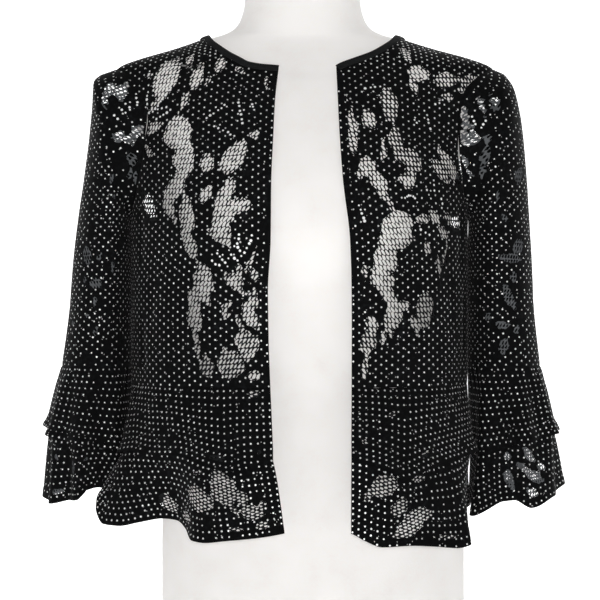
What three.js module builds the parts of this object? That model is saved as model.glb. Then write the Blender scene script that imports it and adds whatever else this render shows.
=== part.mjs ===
import * as THREE from 'three';

// A short open lace cardigan on a limbless dress form, in millimetres.
// +X is the wearer's left, the front faces -Y, and the form stands on its flat base at Z = 0.

// Cloth
const wall = 1.2;
const turnedWall = 2.2;
const turnedWidth = 9;
const seamGap = 0.4;
const sleeveGap = 1;
const square = 2.2;

// Heights on the body
const waistHeight = 297;
const underarmHeight = 465;
const cornerHeight = 606.5;
const shoulderHeight = 609.5;
const neckPointHeight = 641.5;
const backNeckHeight = 630;
const cuffHeight = 314;

// Half width, front and back depth and middle of the garment at each height
const bodySections = [
  { z: 250, wide: 168, front: 112, back: 104, mid: -4.5 },
  { z: 297, wide: 168, front: 113, back: 103, mid: -4.5 },
  { z: 340, wide: 168, front: 115, back: 101, mid: -4.5 },
  { z: 400, wide: 168, front: 121, back: 100, mid: -4.5 },
  { z: 442, wide: 168, front: 127, back: 100, mid: -4.5 },
  { z: 480, wide: 168.5, front: 122, back: 103, mid: -4 },
  { z: 520, wide: 171, front: 109, back: 104, mid: -3 },
  { z: 560, wide: 177, front: 90, back: 99, mid: -1.5 },
  { z: 590, wide: 186.5, front: 74, back: 87, mid: 0 },
  { z: 606.5, wide: 189.5, front: 64, back: 78, mid: 1 },
  { z: 609.5, wide: 188.5, front: 62.4, back: 76.4, mid: 1 },
  { z: 613, wide: 184.5, front: 60.5, back: 74.5, mid: 1 },
  { z: 620, wide: 166, front: 57, back: 71, mid: 1 },
  { z: 630, wide: 130.5, front: 52, back: 66, mid: 0 },
  { z: 641.5, wide: 96.5, front: 48, back: 61, mid: -1.5 },
  { z: 650, wide: 78, front: 47, back: 59, mid: -1.5 },
];

// The same for the dress form, from its base up to the neck
const formSections = [
  { z: 0, wide: 150.5, front: 104, back: 108, mid: 9 },
  { z: 60, wide: 150.5, front: 104, back: 109, mid: 9 },
  { z: 140, wide: 150.5, front: 104, back: 110, mid: 9 },
  { z: 200, wide: 147, front: 103, back: 108, mid: 8 },
  { z: 250, wide: 134, front: 97, back: 98, mid: 7 },
  { z: 300, wide: 120, front: 90, back: 84, mid: 6 },
  { z: 340, wide: 119, front: 90, back: 80, mid: 5 },
  { z: 380, wide: 126, front: 97, back: 82, mid: 4 },
  { z: 420, wide: 137, front: 114, back: 87, mid: 3 },
  { z: 450, wide: 144, front: 121, back: 90, mid: 2 },
  { z: 485, wide: 148, front: 116, back: 94, mid: 1 },
  { z: 520, wide: 155, front: 104, back: 96, mid: 0 },
  { z: 560, wide: 169, front: 86, back: 93, mid: 0 },
  { z: 590, wide: 178, front: 71, back: 83, mid: 0 },
  { z: 602, wide: 182, front: 63.4, back: 77.4, mid: 1 },
  { z: 609.6, wide: 181, front: 59.4, back: 73.4, mid: 1 },
  { z: 617.6, wide: 164.5, front: 55.4, back: 69.4, mid: 1 },
  { z: 627.8, wide: 129.5, front: 50.2, back: 64.2, mid: 0 },
  { z: 639.2, wide: 95.5, front: 45.7, back: 58.9, mid: -1.5 },
  { z: 645, wide: 77, front: 45, back: 57, mid: -1.5 },
  { z: 651, wide: 67.5, front: 44.6, back: 56, mid: -1.5 },
  { z: 660, wide: 61.8, front: 44, back: 55, mid: -1.5 },
  { z: 675, wide: 58, front: 43.5, back: 54, mid: -1.5 },
  { z: 720, wide: 56.5, front: 43, back: 53, mid: -1.5 },
];

// Where the two front edges, and above them the neckline, lie across the body
const frontEdges = [
  { z: 250, right: -31, left: 44.8 },
  { z: 297, right: -32, left: 44.9 },
  { z: 340, right: -33.5, left: 44.9 },
  { z: 389, right: -34.1, left: 44.6 },
  { z: 436, right: -31.5, left: 43 },
  { z: 493, right: -31, left: 36.5 },
  { z: 532, right: -29.5, left: 33.9 },
  { z: 571, right: -27.9, left: 32.3 },
  { z: 606.5, right: -24.4, left: 31 },
];
const neckline = [
  { z: 606.5, right: -24.4, left: 31 },
  { z: 609.5, right: -42, left: 33.5 },
  { z: 613, right: -54.5, left: 39 },
  { z: 618, right: -62, left: 50 },
  { z: 624.5, right: -72.5, left: 65 },
  { z: 631, right: -82, left: 76.5 },
  { z: 637, right: -90, left: 85.5 },
  { z: 641.5, right: -94, left: 90.5 },
];

// Soft folds that hang from the bust and the shoulder blades: angle from the front, size and spread
const bodyFolds = [
  { at: -70, out: -2.2, spread: 12 },
  { at: -47, out: 2.6, spread: 13 },
  { at: -27, out: -2, spread: 10 },
  { at: 30, out: -2.4, spread: 11 },
  { at: 49, out: 2.8, spread: 13 },
  { at: 72, out: -2, spread: 11 },
  { at: 125, out: 2.5, spread: 14 },
  { at: 152, out: -2.4, spread: 12 },
  { at: 180, out: 2.2, spread: 15 },
  { at: 209, out: -2.5, spread: 12 },
  { at: 236, out: 2.4, spread: 14 },
];
const foldTop = 430;

const bodyRows = [waistHeight + seamGap / 2, 325, 355, 385, 413, 440];
const armholeRows = [465, 470, 480, 496, 516, 536, 556, 574, 589, 600, 606.5];
const shoulderRows = [609.5, 613, 618, 624.5, 631, 637, 641.5];
const armholeHalfDepth = 52;
const armholeRound = 2.4;

// Each sleeve from the armhole to the cuff: outer and inner line, half depth and middle
const sleeveSections = {
  right: [
    { outX: -203, outZ: 605, inX: -174.1, inZ: 459, deep: 55, y: 0 },
    { outX: -209.5, outZ: 598, inX: -174.8, inZ: 448, deep: 58, y: 2 },
    { outX: -210.5, outZ: 578, inX: -174.2, inZ: 436, deep: 60, y: 4 },
    { outX: -213.5, outZ: 548, inX: -173.4, inZ: 422, deep: 60.5, y: 7 },
    { outX: -218.5, outZ: 512, inX: -173.4, inZ: 406, deep: 61, y: 10 },
    { outX: -224.5, outZ: 470, inX: -173.4, inZ: 388, deep: 61, y: 13 },
    { outX: -230, outZ: 425, inX: -173.4, inZ: 366, deep: 60, y: 16 },
    { outX: -234, outZ: 375, inX: -173.4, inZ: 342, deep: 59, y: 18 },
    { outX: -241, outZ: 314, inX: -173.4, inZ: 314, deep: 58, y: 20 },
  ],
  left: [
    { outX: 200, outZ: 605.5, inX: 165.6, inZ: 459, deep: 55, y: 0 },
    { outX: 209, outZ: 593, inX: 166.2, inZ: 448, deep: 60, y: 3 },
    { outX: 214, outZ: 572, inX: 165.4, inZ: 436, deep: 63, y: 6 },
    { outX: 218.5, outZ: 545, inX: 164.6, inZ: 422, deep: 63.5, y: 9 },
    { outX: 222, outZ: 510, inX: 164.6, inZ: 406, deep: 63.5, y: 12 },
    { outX: 225, outZ: 470, inX: 164.6, inZ: 388, deep: 62.5, y: 14 },
    { outX: 228, outZ: 425, inX: 164.6, inZ: 366, deep: 60, y: 16 },
    { outX: 231, outZ: 375, inX: 164.6, inZ: 342, deep: 59, y: 18 },
    { outX: 237, outZ: 314, inX: 164.6, inZ: 314, deep: 58, y: 20 },
  ],
};

// Middle and half sizes of the ruffle hems before their waves
const ruffleSizes = {
  right: { x: -217, y: 24, wide: 41.5, deep: 64 },
  left: { x: 214, y: 24, wide: 42, deep: 64 },
};
// Waves of each ruffle's hem: angle from the outer side over the front, size, and hem height
const ruffleWaves = {
  right: {
    upper: [
      { at: 0, out: 3, z: 254 }, { at: 20, out: -3, z: 251 }, { at: 42, out: 5, z: 246 },
      { at: 64, out: -4, z: 242 }, { at: 86, out: 5, z: 239 }, { at: 110, out: -4, z: 235 },
      { at: 134, out: 4, z: 232 }, { at: 158, out: -2, z: 232 }, { at: 182, out: 1, z: 234 },
      { at: 206, out: -4, z: 237 }, { at: 232, out: 4, z: 240 }, { at: 258, out: -5, z: 243 },
      { at: 284, out: 5, z: 247 }, { at: 308, out: -5, z: 250 }, { at: 334, out: 4, z: 253 },
    ],
    lower: [
      { at: 0, out: 6, z: 182 }, { at: 22, out: -3, z: 179 }, { at: 45, out: 5, z: 179 },
      { at: 68, out: -6, z: 183 }, { at: 84, out: 5, z: 184 }, { at: 97, out: -4, z: 195 },
      { at: 118, out: -6, z: 197 }, { at: 142, out: 3, z: 196 }, { at: 166, out: -3, z: 194 },
      { at: 190, out: 1, z: 190 }, { at: 216, out: -7, z: 186 }, { at: 240, out: 6, z: 181 },
      { at: 266, out: -7, z: 185 }, { at: 292, out: 8, z: 179 }, { at: 316, out: -7, z: 184 },
      { at: 340, out: 4, z: 180 },
    ],
  },
  left: {
    upper: [
      { at: 0, out: 2, z: 256 }, { at: 20, out: -4, z: 253 }, { at: 42, out: 4, z: 248 },
      { at: 64, out: -5, z: 244 }, { at: 86, out: 6, z: 240 }, { at: 110, out: -4, z: 236 },
      { at: 132, out: 16, z: 232 }, { at: 154, out: -1, z: 231 }, { at: 182, out: 0, z: 233 },
      { at: 206, out: -4, z: 237 }, { at: 232, out: 5, z: 240 }, { at: 258, out: -5, z: 243 },
      { at: 284, out: 5, z: 247 }, { at: 308, out: -5, z: 251 }, { at: 334, out: 3, z: 254 },
    ],
    lower: [
      { at: 0, out: 8, z: 196 }, { at: 20, out: -1, z: 192 }, { at: 46, out: 4, z: 182 },
      { at: 70, out: 1, z: 177 }, { at: 92, out: -6, z: 184 }, { at: 112, out: 3, z: 184 },
      { at: 132, out: 29, z: 171 }, { at: 149, out: 5, z: 174 }, { at: 170, out: -3, z: 180 },
      { at: 200, out: -3, z: 188 }, { at: 228, out: 5, z: 182 }, { at: 256, out: -7, z: 186 },
      { at: 284, out: 8, z: 180 }, { at: 310, out: -7, z: 186 }, { at: 336, out: 3, z: 190 },
    ],
  },
};

// Hems of the two peplum tiers, a row for each fold: the angle that it hangs from, measured from the
// front over the wearer's right, and where it lies
const peplumHems = {
  upper: [
    { at: 0, x: -12, y: -131, z: 228 }, { at: 9, x: -31, y: -133, z: 226 },
    { at: 19, x: -54, y: -137, z: 225 }, { at: 26, x: -67, y: -136, z: 220 },
    { at: 36, x: -86, y: -127, z: 224 },
    { at: 49, x: -116, y: -110, z: 233 }, { at: 60, x: -142, y: -93, z: 232 },
    { at: 71, x: -165, y: -73, z: 235 }, { at: 79, x: -180, y: -52, z: 231 },
    { at: 87, x: -171, y: -29, z: 236 }, { at: 96, x: -166, y: 4, z: 238 },
    { at: 108, x: -166, y: 38, z: 235 }, { at: 123, x: -155, y: 77, z: 231 },
    { at: 140, x: -114, y: 103, z: 236 }, { at: 159, x: -64, y: 123, z: 230 },
    { at: 180, x: -5, y: 116, z: 235 }, { at: 201, x: 55, y: 123, z: 230 },
    { at: 220, x: 106, y: 103, z: 236 }, { at: 237, x: 148, y: 77, z: 231 },
    { at: 252, x: 160, y: 38, z: 235 }, { at: 264, x: 163, y: 4, z: 238 },
    { at: 273, x: 164, y: -25, z: 236 }, { at: 281, x: 167, y: -51, z: 234 },
    { at: 291, x: 156, y: -76, z: 231 }, { at: 304, x: 135, y: -100, z: 226 },
    { at: 316, x: 111, y: -123, z: 219 }, { at: 325, x: 93, y: -137, z: 212 },
    { at: 331, x: 82, y: -140, z: 219 }, { at: 338, x: 63, y: -139, z: 226 },
    { at: 344.5, x: 45, y: -137, z: 229 }, { at: 352, x: 22, y: -133, z: 229 },
  ],
  lower: [
    { at: 0, x: -1, y: -136, z: 167 }, { at: 9, x: -21, y: -138, z: 162 },
    { at: 17, x: -42, y: -139, z: 158.5 }, { at: 27, x: -76, y: -137, z: 155 },
    { at: 35, x: -94, y: -132, z: 153 },
    { at: 41, x: -106, y: -121, z: 154 }, { at: 47, x: -113, y: -99, z: 163 },
    { at: 53, x: -122, y: -84, z: 169 }, { at: 59, x: -136, y: -78, z: 170 },
    { at: 66, x: -159, y: -76, z: 166 }, { at: 73, x: -179, y: -71, z: 162 },
    { at: 79, x: -194, y: -62, z: 164 }, { at: 84, x: -203, y: -51, z: 173 },
    { at: 89, x: -188, y: -40, z: 182 }, { at: 95, x: -169, y: -24, z: 181 },
    { at: 103, x: -166, y: 6, z: 178 }, { at: 112, x: -167, y: 38, z: 174 },
    { at: 124, x: -156, y: 78, z: 168 }, { at: 136, x: -122, y: 104, z: 168 },
    { at: 147, x: -92, y: 103, z: 176 }, { at: 159, x: -64, y: 128, z: 168 },
    { at: 170, x: -34, y: 122, z: 174 }, { at: 180, x: -5, y: 113, z: 178 },
    { at: 191, x: 27, y: 123, z: 173 }, { at: 202, x: 58, y: 130, z: 167 },
    { at: 213, x: 86, y: 104, z: 176 }, { at: 224, x: 116, y: 106, z: 168 },
    { at: 236, x: 150, y: 78, z: 168 }, { at: 248, x: 165, y: 38, z: 174 },
    { at: 260, x: 166, y: 6, z: 177 }, { at: 269, x: 164, y: -22, z: 177 },
    { at: 278, x: 155, y: -50, z: 174 }, { at: 285, x: 147, y: -74, z: 167 },
    { at: 292, x: 151, y: -92, z: 157 }, { at: 299, x: 156, y: -104, z: 149 },
    { at: 306, x: 146, y: -114, z: 146 }, { at: 314, x: 122, y: -127, z: 149 },
    { at: 323, x: 98, y: -138, z: 151 }, { at: 332, x: 73, y: -141, z: 151 },
    { at: 338, x: 57, y: -140, z: 158 }, { at: 344.5, x: 44.5, y: -138, z: 166 },
    { at: 352, x: 24, y: -136, z: 167 },
  ],
};
const tierSeam = 0.8;
const hemCurl = 3;
const curlLean = 0.4;
const flareStart = 0.14;
const flareShape = 0.78;
const ruffleShape = 0.8;
const peplumShape = 0.95;

const peplumRows = { upper: [0, 0.2, 0.45, 0.7, 0.88, 1], lower: [0, 0.15, 0.35, 0.6, 0.82, 1] };
const ruffleRows = { upper: [0, 0.25, 0.55, 0.82, 1], lower: [0, 0.2, 0.5, 0.8, 1] };
const ruffleColumns = 32;
const bindingWidth = 6;
const bindingLift = 0.6;
const bindingSteps = 22;
const formColumns = 28;

const lace = new THREE.MeshStandardMaterial({ color: 0x1b1b20, roughness: 0.8, metalness: 0.05 });
const binding = new THREE.MeshStandardMaterial({ color: 0x141418, roughness: 0.85, metalness: 0 });
const jersey = new THREE.MeshStandardMaterial({ color: 0xe9e8e6, roughness: 0.9, metalness: 0 });

// Steps for the slopes of a surface: an angle, a height, a share of a tier and degrees of its turn
const nearAngle = 0.01;
const nearHeight = 0.5;
const nearShare = 0.02;
const nearTurn = 1;

const radians = THREE.MathUtils.degToRad;
const power = (value, exponent) => Math.sign(value) * Math.abs(value) ** exponent;

// Smooth value between table rows, without overshoot
function smooth(rows, column, at, along = 'z') {
  let i = 0;
  while (i < rows.length - 2 && rows[i + 1][along] < at) i += 1;
  const slope = (k) => (rows[k + 1][column] - rows[k][column]) / (rows[k + 1][along] - rows[k][along]);
  const tangent = (k) => {
    if (k === 0) return slope(0);
    if (k === rows.length - 1) return slope(k - 1);
    const before = slope(k - 1);
    const after = slope(k);
    return before * after <= 0 ? 0 : (2 * before * after) / (before + after);
  };
  const step = rows[i + 1][along] - rows[i][along];
  const s = THREE.MathUtils.clamp((at - rows[i][along]) / step, 0, 1);
  const a = rows[i][column];
  const b = rows[i + 1][column];
  const ease = s * s * (3 - 2 * s);
  const start = s * (1 - s) * (1 - s);
  const end = s * s * (s - 1);
  return a + (b - a) * ease + step * (start * tangent(i) + end * tangent(i + 1));
}

// The same for rows that run once around, with angles in degrees
function around(rows, column, at) {
  const turn = ((at % 360) + 360) % 360;
  const last = rows[rows.length - 1];
  const looped = [{ ...last, at: last.at - 360 }, ...rows, { ...rows[0], at: rows[0].at + 360 }];
  return smooth(looped, column, turn, 'at');
}

// A point on a body section: the angle runs from the front centre towards +X
function sectionPoint(rows, angle, z, folds) {
  const size = (column) => smooth(rows, column, z);
  const side = Math.sin(angle);
  const facing = Math.cos(angle);
  const depth = facing > 0 ? size('front') : size('back');
  const grown = 1 + folds / size('wide');
  const x = size('mid') + grown * size('wide') * power(side, 2 / square);
  const y = -grown * depth * power(facing, 2 / square);
  return new THREE.Vector3(x, y, z);
}

function foldOut(angle, z) {
  if (z >= foldTop) return 0;
  const degrees = THREE.MathUtils.radToDeg(angle);
  const growth = Math.min((foldTop - z) / (foldTop - waistHeight), 1);
  let out = 0;
  for (const fold of bodyFolds) {
    const away = (((degrees - fold.at + 180) % 360) + 360) % 360 - 180;
    out += fold.out * Math.exp(-((away / fold.spread) ** 2));
  }
  return out * growth;
}

const bodyPoint = (angle, z) => sectionPoint(bodySections, angle, z, foldOut(angle, z));

// Unit vector into the cloth of a surface given as a function of two parameters
function inwardOf(surface, u, v, stepU, stepV) {
  const across = surface(u + stepU, v).sub(surface(u - stepU, v));
  const along = surface(u, v + stepV).sub(surface(u, v - stepV));
  return along.cross(across).normalize();
}
const bodyInward = (angle, z) => inwardOf(bodyPoint, angle, z, nearAngle, nearHeight);
const flat = (vector) => new THREE.Vector3(vector.x, vector.y, 0).normalize();

// Angle on the body where it reaches x, or on a side a given distance in front of or behind it
function angleAtX(x, z) {
  const reach = x - smooth(bodySections, 'mid', z);
  const share = Math.min(Math.abs(reach) / smooth(bodySections, 'wide', z), 1);
  return Math.sign(reach) * Math.asin(share ** (square / 2));
}
function angleAtDepth(depth, z, column) {
  return Math.acos(Math.min(depth / smooth(bodySections, column, z), 1) ** (square / 2));
}

// Half the armhole's width at a height, none outside it
function armholeHalf(z) {
  if (z <= underarmHeight || z >= shoulderHeight) return 0;
  const middle = (underarmHeight + shoulderHeight) / 2;
  const away = Math.abs(z - middle) / (shoulderHeight - middle);
  return armholeHalfDepth * (1 - away ** armholeRound) ** (1 / armholeRound);
}
const armholeFront = (z) => angleAtDepth(armholeHalf(z), z, 'front');
const armholeBack = (z) => Math.PI - angleAtDepth(armholeHalf(z), z, 'back');

// Angle that spans a short distance on the body
function angleFor(distance, angle, z) {
  const step = bodyPoint(angle + nearAngle, z).distanceTo(bodyPoint(angle - nearAngle, z));
  return (distance * 2 * nearAngle) / step;
}

// A closed cloth wall from a grid of outer points, their inward vectors and their thicknesses
function clothWall(grid, inward, thickness, closed) {
  const rows = grid.length;
  const columns = grid[0].length;
  const points = grid.flat();
  grid.forEach((row, i) => row.forEach((point, j) => {
    points.push(point.clone().addScaledVector(inward[i][j], thickness(i, j)));
  }));
  const outer = (i, j) => i * columns + (j % columns);
  const inner = (i, j) => rows * columns + outer(i, j);
  const faces = [];
  const quad = (a, b, c, d) => faces.push(a, b, c, a, c, d);
  const spans = closed ? columns : columns - 1;
  for (let i = 0; i < rows - 1; i += 1) {
    for (let j = 0; j < spans; j += 1) {
      quad(outer(i, j), outer(i, j + 1), outer(i + 1, j + 1), outer(i + 1, j));
      quad(inner(i, j), inner(i + 1, j), inner(i + 1, j + 1), inner(i, j + 1));
    }
  }
  for (let j = 0; j < spans; j += 1) {
    quad(outer(0, j), inner(0, j), inner(0, j + 1), outer(0, j + 1));
    quad(outer(rows - 1, j), outer(rows - 1, j + 1), inner(rows - 1, j + 1), inner(rows - 1, j));
  }
  if (!closed) {
    const end = columns - 1;
    for (let i = 0; i < rows - 1; i += 1) {
      quad(outer(i, 0), outer(i + 1, 0), inner(i + 1, 0), inner(i, 0));
      quad(outer(i, end), inner(i, end), inner(i + 1, end), outer(i + 1, end));
    }
  }
  return solidFrom(points, faces);
}

// Geometry with its faces pointing out, whichever way the grid ran
function solidFrom(points, faces) {
  let volume = 0;
  for (let k = 0; k < faces.length; k += 3) {
    const [a, b, c] = [points[faces[k]], points[faces[k + 1]], points[faces[k + 2]]];
    volume += a.dot(b.clone().cross(c));
  }
  if (volume < 0) faces.reverse();
  const geometry = new THREE.BufferGeometry().setFromPoints(points);
  geometry.setIndex(faces);
  geometry.computeVertexNormals();
  return geometry;
}

const model = new THREE.Group();
function addPiece(name, geometry, material) {
  const mesh = new THREE.Mesh(geometry, material);
  mesh.name = name;
  model.add(mesh);
}

// Inward vectors of a stack of closed rings from their neighbouring points
function ringsInward(grid, sign) {
  const rows = grid.length;
  const columns = grid[0].length;
  return grid.map((row, i) => row.map((point, j) => {
    const across = row[(j + 1) % columns].clone().sub(row[(j + columns - 1) % columns]);
    const along = grid[Math.min(i + 1, rows - 1)][j].clone().sub(grid[Math.max(i - 1, 0)][j]);
    return across.cross(along).normalize().multiplyScalar(sign);
  }));
}

// Bodice

const frontRows = [...bodyRows, ...armholeRows, ...shoulderRows];
const frontColumns = 9;

function bodiceFront(side) {
  const sign = side === 'left' ? 1 : -1;
  const grid = [];
  const inward = [];
  for (const z of frontRows) {
    const edgeRows = z < cornerHeight ? frontEdges : neckline;
    const start = sign * angleAtX(smooth(edgeRows, side, z), z);
    const outerEdge = armholeFront(z);
    const end = outerEdge - angleFor(seamGap / 2, outerEdge - 2 * nearAngle, z);
    const turned = start + angleFor(turnedWidth, start, z);
    const onNeckline = z > cornerHeight;
    const rowPoints = [];
    const rowInward = [];
    for (let j = 0; j < frontColumns; j += 1) {
      const even = start + ((end - start) * j) / (frontColumns - 1);
      const shaped = j === 0 ? start : turned + ((end - turned) * (j - 1)) / (frontColumns - 2);
      const angle = sign * (onNeckline ? even : shaped);
      rowPoints.push(bodyPoint(angle, z));
      rowInward.push(z < underarmHeight ? flat(bodyInward(angle, z)) : bodyInward(angle, z));
    }
    grid.push(rowPoints);
    inward.push(rowInward);
  }
  const isTurned = (i, j) => j <= 1 && frontRows[i] < cornerHeight;
  const thickness = (i, j) => (isTurned(i, j) ? turnedWall : wall);
  return clothWall(grid, inward, thickness, false);
}

const backColumns = 13;
function bodiceBack() {
  const grid = [];
  const inward = [];
  for (const z of frontRows) {
    const edge = armholeBack(z);
    const start = edge + angleFor(seamGap / 2, edge + 2 * nearAngle, z);
    const rowPoints = [];
    const rowInward = [];
    for (let j = 0; j < backColumns; j += 1) {
      const angle = start + ((2 * Math.PI - 2 * start) * j) / (backColumns - 1);
      const height = backHeight(angle, z);
      rowPoints.push(bodyPoint(angle, height));
      rowInward.push(z < underarmHeight ? flat(bodyInward(angle, height)) : bodyInward(angle, height));
    }
    grid.push(rowPoints);
    inward.push(rowInward);
  }
  return clothWall(grid, inward, () => wall, false);
}
// Above the shoulder tips the back's rows sink towards the middle, down to the back neckline
function backHeight(angle, z) {
  if (z <= shoulderHeight) return z;
  const toMiddle = Math.abs(Math.sin(angle));
  const drop = (neckPointHeight - backNeckHeight) / (neckPointHeight - shoulderHeight);
  return shoulderHeight + (z - shoulderHeight) * (1 - drop * (1 - toMiddle ** 2));
}

// Sleeves

const armholeLoop = [...armholeRows.slice(1), shoulderHeight];
const sleeveColumns = 2 * armholeLoop.length;

// The armhole's points from the shoulder over the front to the underarm and up the back
function armholeRing(sign) {
  const front = [...armholeLoop].reverse().map((z) => [armholeFront(z), z]);
  const back = armholeLoop.slice(0, -1).map((z) => [armholeBack(z), z]);
  const loop = [...front, [Math.PI / 2, underarmHeight], ...back];
  return loop.map(([angle, z]) => ({ angle: sign * angle, z }));
}

function sleeveRing(section, count) {
  const ring = [];
  for (let j = 0; j < count; j += 1) {
    const turn = (2 * Math.PI * j) / count;
    const along = power(Math.cos(turn), 2 / square);
    const forward = power(Math.sin(turn), 2 / square);
    const x = (section.outX + section.inX) / 2 + (along * (section.outX - section.inX)) / 2;
    const z = (section.outZ + section.inZ) / 2 + (along * (section.outZ - section.inZ)) / 2;
    ring.push(new THREE.Vector3(x, section.y - forward * section.deep, z));
  }
  return ring;
}

function sleeve(side) {
  const sign = side === 'left' ? 1 : -1;
  const sections = sleeveSections[side];
  const armhole = armholeRing(sign);
  const centre = bodyPoint((sign * Math.PI) / 2, (underarmHeight + shoulderHeight) / 2);
  const first = armhole.map(({ angle, z }) => {
    const edge = bodyPoint(angle, z);
    const into = bodyInward(angle, z);
    const across = centre.clone().sub(edge);
    across.addScaledVector(into, -across.dot(into)).normalize();
    return edge.addScaledVector(across, sleeveGap);
  });
  const grid = [first];
  for (const section of sections) grid.push(sleeveRing(section, sleeveColumns));
  const inward = ringsInward(grid, -sign);
  armhole.forEach(({ angle, z }, j) => inward[0][j].add(bodyInward(angle, z)).normalize());
  const last = inward.length - 1;
  inward[last] = inward[last].map(flat);
  return clothWall(grid, inward, () => wall, true);
}

// Sleeve ruffles

// How far an upper tier has curled out past the seam of the tier below
const curlOut = (share) => hemCurl * Math.max((share - tierSeam) / (1 - tierSeam), 0);

// How far a lower tier has flared out to its hem
const flareOut = (share) => (Math.max(share - flareStart, 0) / (1 - flareStart)) ** flareShape;

function lerpDown(top, hem, spread, share) {
  return new THREE.Vector3(
    THREE.MathUtils.lerp(top.x, hem.x, spread),
    THREE.MathUtils.lerp(top.y, hem.y, spread),
    THREE.MathUtils.lerp(top.z, hem.z, share),
  );
}

function ovalPoint(middleX, middleY, wide, deep, turn, z) {
  const along = power(Math.cos(turn), 2 / square);
  const forward = power(Math.sin(turn), 2 / square);
  return new THREE.Vector3(middleX + along * wide, middleY - forward * deep, z);
}

function ruffleHem(side, tier, turn, curl) {
  const sign = side === 'left' ? 1 : -1;
  const size = ruffleSizes[side];
  const rows = ruffleWaves[side][tier];
  const degrees = THREE.MathUtils.radToDeg(turn);
  const out = around(rows, 'out', degrees) + curl;
  const z = around(rows, 'z', degrees);
  return ovalPoint(size.x, size.y, sign * (size.wide + out), size.deep + out, turn, z);
}

// The upper ruffle falls from the cuff, and its lower part curls out
function upperRuffle(side, turn, share) {
  const cuff = sleeveSections[side][sleeveSections[side].length - 1];
  const middleX = (cuff.outX + cuff.inX) / 2;
  const wide = (cuff.outX - cuff.inX) / 2;
  const top = ovalPoint(middleX, cuff.y, wide, cuff.deep, turn, cuffHeight - seamGap);
  const hem = ruffleHem(side, 'upper', turn, curlOut(share));
  return lerpDown(top, hem, power(share, ruffleShape), share);
}

// The lower ruffle hangs from inside the upper one
function lowerRuffle(side, turn, share) {
  const surface = (u, v) => upperRuffle(side, u, v);
  const sign = side === 'left' ? 1 : -1;
  const inward = inwardOf(surface, turn, tierSeam, nearAngle, nearShare).multiplyScalar(sign);
  const top = surface(turn, tierSeam).addScaledVector(inward, wall + seamGap);
  const hem = ruffleHem(side, 'lower', turn, 0);
  return lerpDown(top, hem, flareOut(share), share);
}

function sleeveRuffle(side, tier) {
  const sign = side === 'left' ? 1 : -1;
  const surface = tier === 'upper' ? upperRuffle : lowerRuffle;
  const grid = [];
  const inward = [];
  for (const share of ruffleRows[tier]) {
    const rowPoints = [];
    const rowInward = [];
    for (let j = 0; j < ruffleColumns; j += 1) {
      const turn = (2 * Math.PI * j) / ruffleColumns;
      rowPoints.push(surface(side, turn, share));
      const into = inwardOf((u, v) => surface(side, u, v), turn, share, nearAngle, nearShare);
      into.multiplyScalar(sign);
      rowInward.push(share === 0 && tier === 'upper' ? flat(into) : into);
    }
    grid.push(rowPoints);
    inward.push(rowInward);
  }
  return clothWall(grid, inward, () => wall, true);
}

// Peplum

function peplumHem(tier, turn) {
  const rows = peplumHems[tier];
  return new THREE.Vector3(around(rows, 'x', turn), around(rows, 'y', turn), around(rows, 'z', turn));
}

function upperPeplum(turn, share) {
  const top = bodyPoint(-radians(turn), waistHeight);
  top.z -= seamGap / 2;
  const hem = peplumHem('upper', turn);
  const out = flat(hem.clone().addScaledVector(top, -curlLean));
  return lerpDown(top, hem, power(share, peplumShape), share).addScaledVector(out, curlOut(share));
}

function lowerPeplum(turn, share) {
  const inward = inwardOf(upperPeplum, turn, tierSeam, nearTurn, nearShare);
  const top = upperPeplum(turn, tierSeam).addScaledVector(inward, wall + seamGap);
  return lerpDown(top, peplumHem('lower', turn), flareOut(share), share);
}

const sideTurns = { right: 90, left: 270 };
const edgeTurns = {
  right: -THREE.MathUtils.radToDeg(angleAtX(smooth(frontEdges, 'right', waistHeight), waistHeight)),
  left: 360 - THREE.MathUtils.radToDeg(angleAtX(smooth(frontEdges, 'left', waistHeight), waistHeight)),
};
const sideRadius = 110;
const seamTurn = THREE.MathUtils.radToDeg(seamGap / 2 / sideRadius);
const peplumPieces = [
  { name: 'front_right', from: edgeTurns.right, to: sideTurns.right, columns: 17 },
  { name: 'back', from: sideTurns.right, to: sideTurns.left, columns: 25 },
  { name: 'front_left', from: sideTurns.left, to: edgeTurns.left, columns: 17 },
];

function peplumPiece(tier, piece) {
  const surface = tier === 'upper' ? upperPeplum : lowerPeplum;
  const from = piece.name === 'front_right' ? piece.from : piece.from + seamTurn;
  const to = piece.name === 'front_left' ? piece.to : piece.to - seamTurn;
  const grid = [];
  const inward = [];
  for (const share of peplumRows[tier]) {
    const rowPoints = [];
    const rowInward = [];
    for (let j = 0; j < piece.columns; j += 1) {
      const turn = from + ((to - from) * j) / (piece.columns - 1);
      rowPoints.push(surface(turn, share));
      const into = inwardOf(surface, turn, share, nearTurn, nearShare);
      rowInward.push(share === 0 && tier === 'upper' ? flat(into) : into);
    }
    grid.push(rowPoints);
    inward.push(rowInward);
  }
  return clothWall(grid, inward, () => wall, false);
}

// Neck binding: a strip on the outside of the cloth along the neckline

function necklinePath() {
  const frontEdge = (side, turn) => neckline.map((row) => ({
    angle: angleAtX(row[side], row.z) - turn, z: row.z,
  }));
  const path = frontEdge('right', 0);
  for (let j = 0; j <= bindingSteps; j += 1) {
    const angle = -Math.PI / 2 - (Math.PI * j) / bindingSteps;
    path.push({ angle, z: backHeight(angle, neckPointHeight) });
  }
  return [...path, ...frontEdge('left', 2 * Math.PI).reverse()];
}

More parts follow.
